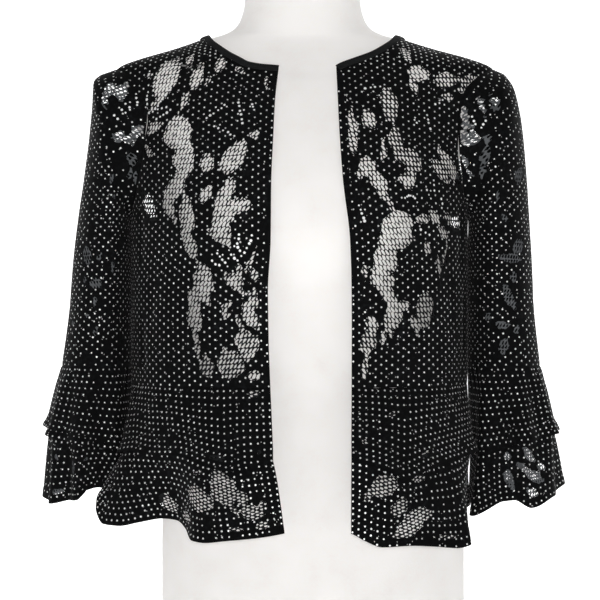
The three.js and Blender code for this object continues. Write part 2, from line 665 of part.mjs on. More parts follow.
function neckBinding() {
  const path = necklinePath();
  const edge = path.map(({ angle, z }) => bodyPoint(angle, z));
  const rim = [];
  const fallen = [];
  const inward = [];
  path.forEach(({ angle, z }, k) => {
    const into = bodyInward(angle, z);
    const run = edge[Math.min(k + 1, edge.length - 1)].clone().sub(edge[Math.max(k - 1, 0)]);
    const down = run.cross(into).normalize();
    if (down.z > 0) down.negate();
    const lifted = edge[k].clone().addScaledVector(into, -(wall + bindingLift));
    rim.push(lifted);
    fallen.push(lifted.clone().addScaledVector(down, bindingWidth).addScaledVector(into, -bindingLift));
    inward.push(into);
  });
  return clothWall([rim, fallen], [inward, inward], () => wall, false);
}

// Dress form

function dressForm() {
  const heights = formSections.map((section) => section.z);
  const grid = heights.map((z) => {
    const ring = [];
    for (let j = 0; j < formColumns; j += 1) {
      ring.push(sectionPoint(formSections, (2 * Math.PI * j) / formColumns, z, 0));
    }
    return ring;
  });
  const points = grid.flat();
  const faces = [];
  const at = (i, j) => i * formColumns + (j % formColumns);
  for (let i = 0; i < grid.length - 1; i += 1) {
    for (let j = 0; j < formColumns; j += 1) {
      faces.push(at(i, j), at(i, j + 1), at(i + 1, j + 1), at(i, j), at(i + 1, j + 1), at(i + 1, j));
    }
  }
  const top = grid.length - 1;
  const ends = [
    { ring: 0, z: heights[0], flip: true },
    { ring: top, z: heights[top], flip: false },
  ];
  for (const { ring, z, flip } of ends) {
    points.push(new THREE.Vector3(formSections[ring].mid, 0, z));
    const centre = points.length - 1;
    for (let j = 0; j < formColumns; j += 1) {
      const pair = flip ? [at(ring, j + 1), at(ring, j)] : [at(ring, j), at(ring, j + 1)];
      faces.push(centre, ...pair);
    }
  }
  return solidFrom(points, faces);
}

addPiece('dress_form', dressForm(), jersey);
addPiece('bodice_back', bodiceBack(), lace);
for (const side of ['right', 'left']) {
  addPiece(`bodice_front_${side}`, bodiceFront(side), lace);
  addPiece(`sleeve_${side}`, sleeve(side), lace);
  for (const tier of ['upper', 'lower']) {
    addPiece(`sleeve_ruffle_${tier}_${side}`, sleeveRuffle(side, tier), lace);
  }
}
for (const tier of ['upper', 'lower']) {
  for (const piece of peplumPieces) {
    addPiece(`peplum_${tier}_${piece.name}`, peplumPiece(tier, piece), lace);
  }
}
addPiece('neck_binding', neckBinding(), binding);

// The origin is the middle of the whole footprint, on the plane that the form stands on
const bounds = new THREE.Box3().setFromObject(model);
const middle = bounds.getCenter(new THREE.Vector3());
model.position.set(-middle.x, -middle.y, 0);

export default model;
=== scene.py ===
import math
import bpy
import numpy as np
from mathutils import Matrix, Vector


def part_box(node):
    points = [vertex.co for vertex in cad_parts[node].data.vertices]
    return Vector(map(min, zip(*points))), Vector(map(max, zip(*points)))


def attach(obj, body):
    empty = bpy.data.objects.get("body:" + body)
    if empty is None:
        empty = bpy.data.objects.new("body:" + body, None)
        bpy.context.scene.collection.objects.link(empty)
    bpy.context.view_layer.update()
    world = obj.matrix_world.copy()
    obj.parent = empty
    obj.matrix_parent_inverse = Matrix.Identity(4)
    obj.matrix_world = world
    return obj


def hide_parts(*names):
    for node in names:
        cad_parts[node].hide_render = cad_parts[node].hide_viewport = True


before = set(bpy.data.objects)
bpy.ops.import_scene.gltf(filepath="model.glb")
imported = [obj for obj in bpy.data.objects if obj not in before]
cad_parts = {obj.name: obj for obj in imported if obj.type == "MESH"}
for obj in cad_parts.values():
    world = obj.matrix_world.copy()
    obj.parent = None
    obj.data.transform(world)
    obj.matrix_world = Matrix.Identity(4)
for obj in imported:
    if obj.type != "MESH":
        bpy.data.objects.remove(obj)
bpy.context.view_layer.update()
print("frame loaded, solids:", len(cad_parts))

# The garment in millimetres: +X is the wearer's left, the front faces -Y, the form stands at Z = 0
square = 2.2
seamGap = -0.6
sleeveGap = -1.4
tierInset = 1.6
waistHeight = 297
underarmHeight = 465
cornerHeight = 606.5
shoulderHeight = 609.5
neckPointHeight = 641.5
backNeckHeight = 630
cuffHeight = 314
armholeHalfDepth = 52
armholeRound = 2.4
foldTop = 430
tierSeam = 0.8
hemCurl = 3
curlLean = 0.4
flareStart = 0.14
flareShape = 0.78
ruffleShape = 0.8
peplumShape = 0.95
turnedWidth = 8.5
windowPoint = 1.55
signs = {"right": -1, "left": 1}


def table(names, rows):
    return dict(zip(names.split(), np.array(rows, float).T))


# Half width, front and back depth and middle of the garment at each height
bodySections = table("z wide front back mid", [
    (250, 168, 112, 104, -4.5), (297, 168, 113, 103, -4.5), (340, 168, 115, 101, -4.5),
    (400, 168, 121, 100, -4.5), (442, 168, 127, 100, -4.5), (480, 168.5, 122, 103, -4),
    (520, 171, 109, 104, -3), (560, 177, 90, 99, -1.5), (590, 186.5, 74, 87, 0),
    (606.5, 189.5, 64, 78, 1), (609.5, 188.5, 62.4, 76.4, 1), (613, 184.5, 60.5, 74.5, 1),
    (620, 166, 57, 71, 1), (630, 130.5, 52, 66, 0), (641.5, 96.5, 48, 61, -1.5), (650, 78, 47, 59, -1.5)])
formSections = table("z wide front back mid", [
    (0, 150.5, 104, 108, 9), (60, 150.5, 104, 109, 9), (140, 150.5, 104, 110, 9), (200, 147, 103, 108, 8),
    (250, 134, 97, 98, 7), (300, 120, 90, 84, 6), (340, 119, 90, 80, 5), (380, 126, 97, 82, 4),
    (420, 137, 114, 87, 3), (450, 144, 121, 90, 2), (485, 148, 116, 94, 1), (520, 155, 104, 96, 0),
    (560, 169, 86, 93, 0), (590, 178, 71, 83, 0), (602, 182, 63.4, 77.4, 1), (609.6, 181, 59.4, 73.4, 1),
    (617.6, 164.5, 55.4, 69.4, 1), (627.8, 129.5, 50.2, 64.2, 0), (639.2, 95.5, 45.7, 58.9, -1.5),
    (645, 77, 45, 57, -1.5), (651, 67.5, 44.6, 56, -1.5), (660, 61.8, 44, 55, -1.5),
    (675, 58, 43.5, 54, -1.5), (720, 56.5, 43, 53, -1.5)])
# Where the two front edges, and above them the neckline, lie across the body
frontEdges = table("z right left", [
    (250, -31, 44.8), (297, -32, 44.9), (340, -33.5, 44.9), (389, -34.1, 44.6), (436, -31.5, 43),
    (493, -31, 36.5), (532, -29.5, 33.9), (571, -27.9, 32.3), (606.5, -24.4, 31)])
neckline = table("z right left", [
    (606.5, -24.4, 31), (608.2, -42, 33.5), (610.8, -54.5, 39), (615, -62, 50), (621, -72.5, 65),
    (628, -82, 76.5), (635, -90, 85.5), (641.5, -94, 90.5)])
# Soft folds below the bust: angle from the front, size and spread
bodyFolds = [
    (-70, -2.2, 12), (-47, 2.6, 13), (-27, -2, 10), (30, -2.4, 11), (49, 2.8, 13), (72, -2, 11),
    (125, 2.5, 14), (152, -2.4, 12), (180, 2.2, 15), (209, -2.5, 12), (236, 2.4, 14)]
# Each sleeve from the armhole to the cuff: outer line, inner line against the body, half depth and middle
sleeveSections = {
    "right": table("at outX outZ inX inZ deep y", [
        (1, -203, 605, -173, 459, 55, 0), (2, -210, 598, -173.2, 448, 58, 2),
        (3, -211.3, 578, -173, 436, 60, 4), (4, -214.4, 548, -172.9, 422, 60.5, 7),
        (5, -219.3, 512, -172.9, 406, 61, 10), (6, -225.6, 470, -172.9, 388, 61, 13),
        (7, -231.5, 425, -172.9, 366, 60, 16), (8, -236, 375, -172.9, 342, 59, 18),
        (9, -244, 314, -172.9, 314, 58, 20)]),
    "left": table("at outX outZ inX inZ deep y", [
        (1, 200, 605.5, 164.4, 459, 55, 0), (2, 209, 593, 164.8, 448, 60, 3),
        (3, 215, 572, 164.3, 436, 63, 6), (4, 219.5, 545, 164.1, 422, 63.5, 9),
        (5, 223, 510, 164.1, 406, 63.5, 12), (6, 225.8, 470, 164.1, 388, 62.5, 14),
        (7, 228.8, 425, 164.1, 366, 60, 16), (8, 231.6, 375, 164.1, 342, 59, 18),
        (9, 238, 314, 164.1, 314, 58, 20)])}
armholeHeights = [609.5, 606.5, 600, 589, 574, 556, 536, 516, 496, 480, 470, 465]
# Middle and half sizes of the ruffle hems, then their waves: angle from the outer side, size and height
ruffleSizes = {"right": (-217, 24, 41.5, 64), "left": (214, 24, 42, 64)}
ruffleWaves = {
    ("right", "upper"): table("at out z", [
        (0, 3, 254), (20, -3, 251), (42, 5, 246), (64, -4, 242), (86, 5, 239), (110, -4, 235),
        (134, 6, 232), (158, 3.5, 232), (182, 2.8, 234), (206, 2, 237), (232, 4, 240), (258, -5, 243),
        (284, 5, 247), (308, -5, 250), (334, 4, 253)]),
    ("right", "lower"): table("at out z", [
        (0, 6, 182), (22, -3, 179), (45, 5, 179), (68, -6, 183), (84, 5, 184), (97, -4, 195),
        (118, -6, 197), (142, 3, 196), (166, -3, 194), (190, 1, 190), (216, -7, 186), (240, 6, 181),
        (266, -7, 185), (292, 8, 179), (316, -7, 184), (340, 4, 180)]),
    ("left", "upper"): table("at out z", [
        (0, 0, 249), (20, -6, 249), (42, 4, 248), (64, -5, 244), (86, 6, 240), (110, -4, 236),
        (132, 16, 232), (154, 5.5, 231), (182, 4.2, 233), (206, 3, 237), (232, 5, 240), (258, -5, 243),
        (284, 5, 247), (308, -5, 251), (334, 3, 254)]),
    ("left", "lower"): table("at out z", [
        (0, 8, 195), (20, -2, 189), (46, 3, 186), (80, 0, 176), (98, -6, 183), (114, 2, 182),
        (132, 30, 169), (149, 13, 172), (170, 6, 178), (200, 4.8, 188), (228, 6, 182), (256, -7, 186),
        (284, 8, 180), (310, -7, 186), (336, 3, 190)])}
# Hems of the two peplum tiers, a row for each fold, from the front over the wearer's right
peplumHems = {
    "upper": table("at x y z", [
        (0, -12, -131, 228), (9, -31, -133, 226), (19, -54, -137, 225), (26, -67, -136, 220),
        (36, -86, -127, 224), (49, -116, -110, 233), (60, -142, -93, 232), (71, -165, -73, 235),
        (79, -180, -52, 231), (87, -171, -29, 236), (96, -166, 4, 238), (108, -166, 38, 235),
        (123, -155, 77, 231), (140, -114, 103, 236), (159, -64, 123, 230), (180, -5, 116, 235),
        (201, 55, 123, 230), (220, 106, 103, 236), (237, 148, 77, 231), (252, 160, 38, 235),
        (264, 163, 4, 238), (273, 164, -25, 236), (281, 167, -51, 234), (291, 156, -76, 231),
        (304, 135, -100, 226), (316, 111, -123, 219), (325, 93, -137, 212), (331, 82, -140, 219),
        (338, 63, -139, 226), (344.5, 45, -137, 229), (352, 22, -133, 229)]),
    "lower": table("at x y z", [
        (0, -1, -136, 167), (9, -21, -138, 162), (17, -42, -139, 158.5), (27, -76, -137, 155),
        (35, -94, -132, 153), (41, -106, -121, 154), (47, -113, -99, 163), (53, -122, -84, 169),
        (59, -136, -78, 170), (66, -159, -76, 166), (73, -179, -71, 162), (79, -195, -62, 163),
        (84, -203, -52, 178), (89, -202, -44, 189), (95, -173, -26, 185), (103, -166, 6, 178),
        (112, -167, 38, 174), (124, -156, 78, 168), (136, -122, 104, 168), (147, -92, 103, 176),
        (159, -64, 128, 168), (170, -34, 122, 174), (180, -5, 113, 178), (191, 27, 123, 173),
        (202, 58, 130, 167), (213, 86, 104, 176), (224, 116, 106, 168), (236, 150, 78, 168),
        (248, 165, 38, 174), (260, 166, 6, 177), (269, 164, -22, 177), (278, 155, -50, 174),
        (285, 154, -74, 167), (292, 157.5, -92, 157), (299, 158.5, -104, 149), (306, 146, -114, 146),
        (314, 122, -127, 149), (323, 98, -138, 151), (332, 73, -141, 150), (338, 57, -140, 155.5),
        (344.5, 44.5, -138, 162), (352, 24, -136, 167)])}


# Smooth value between table rows, without overshoot
def smooth(rows, column, at, along="z"):
    stops, values = rows[along], rows[column]
    slope = np.diff(values) / np.diff(stops)
    tangent = np.empty_like(values)
    tangent[0], tangent[-1] = slope[0], slope[-1]
    product = slope[:-1] * slope[1:]
    total = np.where(product > 0, slope[:-1] + slope[1:], 1)
    tangent[1:-1] = np.where(product > 0, 2 * product / total, 0)
    at = np.asarray(at, float)
    i = np.clip(np.searchsorted(stops, at) - 1, 0, len(stops) - 2)
    step = stops[i + 1] - stops[i]
    s = np.clip((at - stops[i]) / step, 0, 1)
    ease = values[i] + (values[i + 1] - values[i]) * s * s * (3 - 2 * s)
    return ease + step * (s * (1 - s) ** 2 * tangent[i] + s * s * (s - 1) * tangent[i + 1])


# The same for rows that run once around
def around(rows, column, degrees):
    looped = {
        "at": np.concatenate([rows["at"][-2:] - 360, rows["at"], rows["at"][:2] + 360]),
        column: np.concatenate([rows[column][-2:], rows[column], rows[column][:2]])}
    return smooth(looped, column, np.mod(degrees, 360), "at")


def power(value, exponent):
    return np.sign(value) * np.abs(value) ** exponent


# Shares of the way along and forward round a squarish ring
def squarish(turn):
    return power(np.cos(turn), 2 / square), power(np.sin(turn), 2 / square)


def spot(x, y, z):
    return np.stack(np.broadcast_arrays(x, y, z), -1).astype(float)


def unit(vectors):
    return vectors / np.maximum(np.linalg.norm(vectors, axis=-1, keepdims=True), 1e-9)


# A point on a body section: the angle runs from the front centre towards +X
def sectionPoint(rows, angle, z, folds=0.0):
    side, facing = np.sin(angle), np.cos(angle)
    wide = smooth(rows, "wide", z)
    depth = np.where(facing > 0, smooth(rows, "front", z), smooth(rows, "back", z))
    grown = 1 + folds / wide
    x = smooth(rows, "mid", z) + grown * wide * power(side, 2 / square)
    return spot(x, -grown * depth * power(facing, 2 / square), z)


def bodyPoint(angle, z):
    growth = np.clip((foldTop - z) / (foldTop - waistHeight), 0, 1)
    degrees = np.degrees(angle)
    out = 0
    for at, size, spread in bodyFolds:
        away = np.mod(degrees - at + 180, 360) - 180
        out = out + size * np.exp(-(away / spread) ** 2)
    return sectionPoint(bodySections, angle, z, out * growth)


def angleAtX(x, z):
    reach = x - smooth(bodySections, "mid", z)
    share = np.minimum(np.abs(reach) / smooth(bodySections, "wide", z), 1)
    return np.sign(reach) * np.arcsin(share ** (square / 2))


def angleAtDepth(depth, z, column):
    return np.arccos(np.minimum(depth / smooth(bodySections, column, z), 1) ** (square / 2))


def armholeHalf(z):
    middle = (underarmHeight + shoulderHeight) / 2
    away = np.minimum(np.abs(z - middle) / (shoulderHeight - middle), 1)
    return armholeHalfDepth * (1 - away ** armholeRound) ** (1 / armholeRound)


def armholeEdge(z, column):
    edge = angleAtDepth(armholeHalf(z), z, column)
    return edge if column == "front" else math.pi - edge


# Inward unit vector of a surface of two parameters
def inwardOf(surface, u, v, stepU, stepV):
    across = surface(u + stepU, v) - surface(u - stepU, v)
    along = surface(u, v + stepV) - surface(u, v - stepV)
    return unit(np.cross(along, across))


# Surfaces of the pieces, as functions of s across and t up or down, both 0 to 1
def frontSurface(side):
    sign = signs[side]

    def start(z):
        lower = smooth(frontEdges, side, z)
        return sign * angleAtX(np.where(z < cornerHeight, lower, smooth(neckline, side, z)), z)

    def surface(s, t):
        z = waistHeight + seamGap / 2 + t * (neckPointHeight - waistHeight - seamGap / 2)
        return bodyPoint(sign * (start(z) + s * (armholeEdge(z, "front") - start(z))), z)

    def lead(t):
        z = waistHeight + t * (neckPointHeight - waistHeight)
        edge = sign * angleAtX(smooth(frontEdges, side, np.minimum(z, cornerHeight)), z)
        shares = np.linspace(0, 1, 24)[None, :]
        angles = edge[:, None] + shares * (start(z) - edge)[:, None]
        points = bodyPoint(sign * angles, z[:, None] + 0 * shares)
        return np.linalg.norm(np.diff(points, axis=1), axis=-1).sum(1)
    return surface, lead


def backHeight(angle, z):
    drop = (neckPointHeight - backNeckHeight) / (neckPointHeight - shoulderHeight)
    lowered = shoulderHeight + (z - shoulderHeight) * (1 - drop * (1 - np.sin(angle) ** 2))
    return np.where(z <= shoulderHeight, z, lowered)


def backSurface(s, t):
    z = waistHeight + seamGap / 2 + t * (neckPointHeight - waistHeight - seamGap / 2)
    edge = armholeEdge(z, "back")
    angle = edge + s * (2 * math.pi - 2 * edge)
    return bodyPoint(angle, backHeight(angle, z))


def sleeveRing(rows, turn, at):
    along, forward = squarish(turn)
    pick = {name: smooth(rows, name, at, "at") for name in rows if name != "at"}
    x = (pick["outX"] + pick["inX"]) / 2 + along * (pick["outX"] - pick["inX"]) / 2
    z = (pick["outZ"] + pick["inZ"]) / 2 + along * (pick["outZ"] - pick["inZ"]) / 2
    return spot(x, pick["y"] - forward * pick["deep"], z)


def armholeRing(sign, turn):
    steps = len(armholeHeights) - 1
    place = np.mod(turn, 2 * math.pi) / math.pi * steps
    isFront = place <= steps
    rows = {"at": np.arange(steps + 1.0), "z": np.array(armholeHeights)}
    z = smooth(rows, "z", np.where(isFront, place, 2 * steps - place), "at")
    angle = sign * np.where(isFront, armholeEdge(z, "front"), armholeEdge(z, "back"))
    edge = bodyPoint(angle, z)
    into = inwardOf(bodyPoint, angle, z, 0.01, 0.5)
    centre = bodyPoint(np.float64(sign * math.pi / 2), (underarmHeight + shoulderHeight) / 2)
    across = centre - edge
    across = unit(across - into * (across * into).sum(-1, keepdims=True))
    return edge + across * sleeveGap


def sleeveSurface(side):
    sign = signs[side]

    def surface(s, t):
        turn = math.pi + 2 * math.pi * s
        at = 9 * t
        lower = sleeveRing(sleeveSections[side], turn, np.maximum(at, 1))
        share = np.clip(at, 0, 1)
        blend = (share * share * (2 - share))[..., None]
        return armholeRing(sign, turn + 0 * at) * (1 - blend) + lower * blend
    return surface


def flareOut(share):
    return (np.maximum(share - flareStart, 0) / (1 - flareStart)) ** flareShape


def curlOut(share):
    return hemCurl * np.maximum((share - tierSeam) / (1 - tierSeam), 0)


def lerpDown(top, hem, spread, share):
    mix = spot(spread, spread, share)
    return top * (1 - mix) + hem * mix


def ovalPoint(x, y, wide, deep, turn, z):
    along, forward = squarish(turn)
    return spot(x + along * wide, y - forward * deep, z)


def ruffleHem(side, tier, turn, curl):
    x, y, wide, deep = ruffleSizes[side]
    out, z = (around(ruffleWaves[side, tier], name, np.degrees(turn)) for name in ("out", "z"))
    out = out + curl
    return ovalPoint(x, y, signs[side] * (wide + out), deep + out, turn, z)


def upperRuffle(side, turn, share):
    cuff = {name: values[-1] for name, values in sleeveSections[side].items()}
    wide = (cuff["outX"] - cuff["inX"]) / 2
    middle = (cuff["outX"] + cuff["inX"]) / 2
    top = ovalPoint(middle, cuff["y"], wide, cuff["deep"], turn, cuffHeight - seamGap)
    return lerpDown(top, ruffleHem(side, "upper", turn, curlOut(share)), power(share, ruffleShape), share)


def lowerRuffle(side, turn, share):
    seam = tierSeam + 0 * turn
    into = inwardOf(lambda u, v: upperRuffle(side, u, v), turn, seam, 0.01, 0.02) * signs[side]
    top = upperRuffle(side, turn, seam) + into * tierInset
    return lerpDown(top, ruffleHem(side, "lower", turn, 0), flareOut(share), share)


def ruffleSurface(side, tier):
    shape = upperRuffle if tier == "upper" else lowerRuffle
    return lambda s, t: shape(side, math.pi + 2 * math.pi * s + 0 * t, t + 0 * s)


def peplumHem(tier, turn):
    return spot(*(around(peplumHems[tier], name, turn) for name in "xyz"))


def upperPeplum(turn, share):
    top = bodyPoint(-np.radians(turn), waistHeight + 0 * turn) - np.array([0, 0, seamGap / 2])
    hem = peplumHem("upper", turn)
    out = (hem - curlLean * top) * np.array([1, 1, 0])
    return lerpDown(top, hem, power(share, peplumShape), share) + unit(out) * curlOut(share)[..., None]


def lowerPeplum(turn, share):
    seam = tierSeam + 0 * turn
    into = inwardOf(upperPeplum, turn, seam, 1, 0.02)
    top = upperPeplum(turn, seam) + into * tierInset
    return lerpDown(top, peplumHem("lower", turn), flareOut(share), share)


def edgeTurn(side):
    x = smooth(frontEdges, side, waistHeight)
    return float(np.mod(-np.degrees(angleAtX(x, waistHeight)), 360))


peplumTurns = {
    "front_right": (edgeTurn("right"), 90),
    "back": (90, 270),
    "front_left": (edgeTurn("left"), 270)}


def peplumSurface(tier, place):
    start, end = peplumTurns[place]
    shape = upperPeplum if tier == "upper" else lowerPeplum
    return lambda s, t: shape(start + (end - start) * s + 0 * t, t + 0 * s)


# The design lies a little off the frame's origin, which is the middle of the footprint
formLow = np.array(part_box("dress_form")[0]) * 1000
shift = np.array([formLow[0] - (formSections["mid"] - formSections["wide"]).min(),
                  formLow[1] + formSections["front"].max(), 0])
print("design shifted by", shift.round(3), "mm")


# A panel of cloth: its points across and along, and its flat coordinates u and v in millimetres
class Panel:
    def __init__(self, surface, lead=None, centred=False, hub=(-4, 0), columns=281, rows=181, fall=False):
        s, t = np.linspace(0, 1, columns), np.linspace(0, 1, rows)
        if fall:
            self.hang(surface, s, t)
        else:
            self.spread(surface, s, t, lead, centred)
        normals = unit(np.cross(np.gradient(self.points, axis=1), np.gradient(self.points, axis=0)))
        out = self.points[..., :2] - np.array(hub)
        self.facing = 1 if (normals[..., :2] * out).sum() > 0 else -1
        self.normals = normals * self.facing
        self.area = self.width.mean() * self.length.mean()

    # Rows of one height each, with their own width and place
    def spread(self, surface, s, t, lead, centred):
        for again in range(2):
            points = surface(s[None, :], t[:, None] + 0 * s)
            steps = np.linalg.norm(np.diff(points, axis=1), axis=-1)
            across = np.concatenate([np.zeros((len(t), 1)), np.cumsum(steps, 1)], 1)
            starts = lead(t) if lead else (-across[:, -1] / 2 if centred else 0 * t)
            gaps = []
            for k in range(len(t) - 1):
                low = max(starts[k], starts[k + 1])
                high = min(starts[k] + across[k, -1], starts[k + 1] + across[k + 1, -1])
                at = np.linspace(low, high, 9)
                pair = [[np.interp(at, starts[r] + across[r], points[r, :, axis]) for axis in range(3)]
                        for r in (k, k + 1)]
                gaps.append(np.linalg.norm(np.subtract(*pair), axis=0).mean())
            down = np.concatenate([[0], np.cumsum(gaps)])
            if again == 0:
                t = np.interp(np.linspace(0, down[-1], len(t)), down, t)
        even = np.stack([np.interp(np.linspace(0, row[-1], len(s)), row, s) for row in across])
        self.points = surface(even, t[:, None] + 0 * even)
        self.width = across[:, -1]
        self.length = np.full(len(s), down[-1])
        self.lead = starts

    # Columns along a limb, each with its own length, measured up from the last ring
    def hang(self, surface, s, t):
        ring = surface(s, np.ones_like(s))
        around = np.concatenate([[0], np.cumsum(np.linalg.norm(np.diff(ring, axis=0), axis=-1))])
        s = np.interp(np.linspace(0, around[-1], len(s)), around, s)
        points = surface(s[None, :], 1 - t[:, None] + 0 * s)
        steps = np.linalg.norm(np.diff(points, axis=0), axis=-1)
        up = np.concatenate([np.zeros((1, len(s))), np.cumsum(steps, 0)])
        even = np.stack([np.interp(np.linspace(0, column[-1], len(t)), column, t) for column in up.T], 1)
        self.points = surface(s[None, :] + 0 * even, 1 - even)
        self.width = np.full(len(t), around[-1])
        self.length = up[-1]
        self.lead = -self.width / 2

    def row(self, values, t):
        return np.interp(t, np.linspace(0, 1, len(values)), values)

    def flat(self, s, t):
        return self.row(self.lead, t) + s * self.row(self.width, t), t * self.row(self.length, s)

    def share(self, u, v):
        t = v / self.length.mean()
        s = (u - self.row(self.lead, t)) / self.row(self.width, t)
        return s, v / self.row(self.length, s)

    def place(self, s, t, lift):
        rows, columns = self.points.shape[:2]
        y, x = np.clip(t, 0, 1) * (rows - 1), np.clip(s, 0, 1) * (columns - 1)
        i, j = np.minimum(y.astype(int), rows - 2), np.minimum(x.astype(int), columns - 2)
        fy, fx = (y - i)[..., None], (x - j)[..., None]

        def blend(grid):
            upper = grid[i, j] * (1 - fx) + grid[i, j + 1] * fx
            lower = grid[i + 1, j] * (1 - fx) + grid[i + 1, j + 1] * fx
            return upper * (1 - fy) + lower * fy
        return blend(self.points) + blend(self.normals) * np.asarray(lift)[..., None]

    def edges(self, s, t):
        width, length = self.row(self.width, t), self.row(self.length, s)
        return {"start": s * width, "end": (1 - s) * width, "first": t * length, "last": (1 - t) * length}


def turnedBy(u, v, x, y, degrees):
    c, d = math.cos(math.radians(degrees)), math.sin(math.radians(degrees))
    return (u - x) * c + (v - y) * d, -(u - x) * d + (v - y) * c


# Shapes of the lace in flat coordinates, in millimetres inside the shape
farOutside = -99.0


def ovals(u, v, rows, point=2):
    best = np.full(u.shape, farOutside)
    for x, y, long, short, degrees in rows:
        a, b = turnedBy(u, v, x, y, degrees)
        near = 1 - (np.abs(a / long) ** point + np.abs(b / short) ** point) ** (1 / point)
        best = np.maximum(best, near * min(long, short))
    return best


# Places along and beside the line between two points, and its length
def besideLine(u, v, x1, y1, x2, y2):
    a, b = turnedBy(u, v, x1, y1, math.degrees(math.atan2(y2 - y1, x2 - x1)))
    return a, b, math.hypot(x2 - x1, y2 - y1)


def stems(u, v, rows):
    best = np.full(u.shape, farOutside)
    for x1, y1, x2, y2, bend, width in rows:
        a, b, length = besideLine(u, v, x1, y1, x2, y2)
        share = np.clip(a / length, 0, 1)
        away = np.hypot(a - share * length, b - 4 * bend * share * (1 - share))
        best = np.maximum(best, width / 2 - away)
    return best


# The places of a row of beads between two points
def beadRow(x1, y1, x2, y2, count):
    shares = [(k + 0.5) / count for k in range(count)]
    return [(x1 + (x2 - x1) * f, y1 + (y2 - y1) * f) for f in shares]


def wobble(u, v):
    slow = np.sin(0.21 * u + 1.7 * np.sin(0.09 * v)) + np.sin(0.26 * v + 1.4 * np.sin(0.11 * u))
    quick = np.sin(0.62 * u + 0.4 * v) * np.sin(0.55 * v - 0.3 * u)
    return 0.7 * slow + 0.9 * quick + 0.45 * np.sin(1.3 * u - 0.5 * v) * np.sin(1.1 * v + 0.7 * u)


# How far inside the dense knit a place is; below zero there is only net
def knitField(panel, lace, u, v, s, t):
    field = np.maximum(-ovals(u, v, lace["windows"], windowPoint), ovals(u, v, lace["ovals"]))
    field = np.maximum(field, stems(u, v, lace["stems"])) + wobble(u, v) * lace["wobble"]
    away = panel.edges(s, t)
    for edge, band in lace["bands"].items():
        field = np.maximum(field, band["width"] - away[edge])
    return field


# How far the cloth stands proud of its panel: turned edges, pinched seams and creases
relief = {
    "rest": -0.4, "turned": 0.55, "step": 0.9, "groove": 0.35, "grooveIn": 1.4, "grooveWide": 0.7,
    "pinch": 0.5, "pinchWide": 1.6, "taper": 0.3}


def reliefOf(panel, lace, u, v, s, t):
    lift = np.full(np.shape(u), relief["rest"])
    away = panel.edges(s, t)
    for edge, band in lace["bands"].items():
        if band["turned"]:
            lift += relief["turned"] * np.clip((band["width"] - away[edge]) / relief["step"], 0, 1)
            groove = (away[edge] - band["width"] + relief["grooveIn"]) / relief["grooveWide"]
            lift -= relief["groove"] * np.exp(-groove ** 2)
        else:
            lift -= relief["pinch"] * np.exp(-(away[edge] / relief["pinchWide"]) ** 2)
    for x1, y1, x2, y2, bend, width, depth in lace["creases"]:
        a, b, length = besideLine(u, v, x1, y1, x2, y2)
        share = a / length
        ends = np.clip(share / relief["taper"], 0, 1) * np.clip((1 - share) / relief["taper"], 0, 1)
        ends = ends * ends * (3 - 2 * ends)
        share = np.clip(share, 0, 1)
        lift += depth * ends * np.exp(-((b - 4 * bend * share * (1 - share)) / width) ** 2)
    return lift


# Four-sided faces of a grid of points, open or closed round its columns
def gridFaces(rows, columns, closed=False):
    index = np.arange(rows * columns).reshape(rows, columns)
    after = np.roll(index, -1, axis=1)
    faces = np.stack([index[:-1], after[:-1], after[1:], index[1:]], -1)
    return faces[:, :columns if closed else -1].reshape(-1, 4)


# The dense knit: lattice cells cut along the edge of its shapes
leastField = 0.02


def knitMesh(panel, lace):
    columns = int(panel.width.mean() / lace["spacing"]) + 1
    rows = int(panel.length.max() / lace["spacing"]) + 1
    s, t = np.meshgrid(np.linspace(0, 1, columns), np.linspace(0, 1, rows))
    s, t = s.ravel(), t.ravel()
    u, v = panel.flat(s, t)
    field = knitField(panel, lace, u, v, s, t)
    field = np.where(np.abs(field) < leastField, leastField, field)
    corners = gridFaces(rows, columns)
    inside = field > 0
    count = inside[corners].sum(1)
    whole = corners[count == 4]
    partial = corners[(count > 0) & (count < 4)]
    halves = np.concatenate([partial[:, [0, 1, 2]], partial[:, [0, 2, 3]]])
    kept = inside[halves].sum(1)
    triangles, quads, pairs = [halves[kept == 3]], [whole], []
    for number in (1, 2):
        chosen = halves[kept == number]
        lead = np.argmax(inside[chosen] == (number == 1), axis=1)
        p, q, r = (chosen[np.arange(len(chosen)), (lead + k) % 3] for k in range(3))
        first, second = len(pairs), len(pairs) + 1
        pairs += [np.sort(np.stack([p, q], 1), 1), np.sort(np.stack([p, r], 1), 1)]
        if number == 1:
            single = (p, first, second)
        else:
            double = (first, q, r, second)
    edges, inverse = np.unique(np.concatenate(pairs), axis=0, return_inverse=True)
    inverse = inverse.ravel() + rows * columns
    starts = np.concatenate([[0], np.cumsum([len(pair) for pair in pairs])])
    cut = [inverse[starts[k]:starts[k + 1]] for k in range(len(pairs))]
    triangles.append(np.stack([single[0], cut[single[1]], cut[single[2]]], 1))
    quads.append(np.stack([cut[double[0]], double[1], double[2], cut[double[3]]], 1))
    share = field[edges[:, 0]] / (field[edges[:, 0]] - field[edges[:, 1]])
    s = np.concatenate([s, s[edges[:, 0]] * (1 - share) + s[edges[:, 1]] * share])
    t = np.concatenate([t, t[edges[:, 0]] * (1 - share) + t[edges[:, 1]] * share])
    faces = [np.concatenate(triangles), np.concatenate(quads)]
    used = np.unique(np.concatenate([face.ravel() for face in faces]))
    renumber = np.zeros(len(s), int)
    renumber[used] = np.arange(len(used))
    s, t = s[used], t[used]
    u, v = panel.flat(s, t)
    points = panel.place(s, t, reliefOf(panel, lace, u, v, s, t))
    return points, [renumber[face] for face in faces], np.stack([u, v], 1)


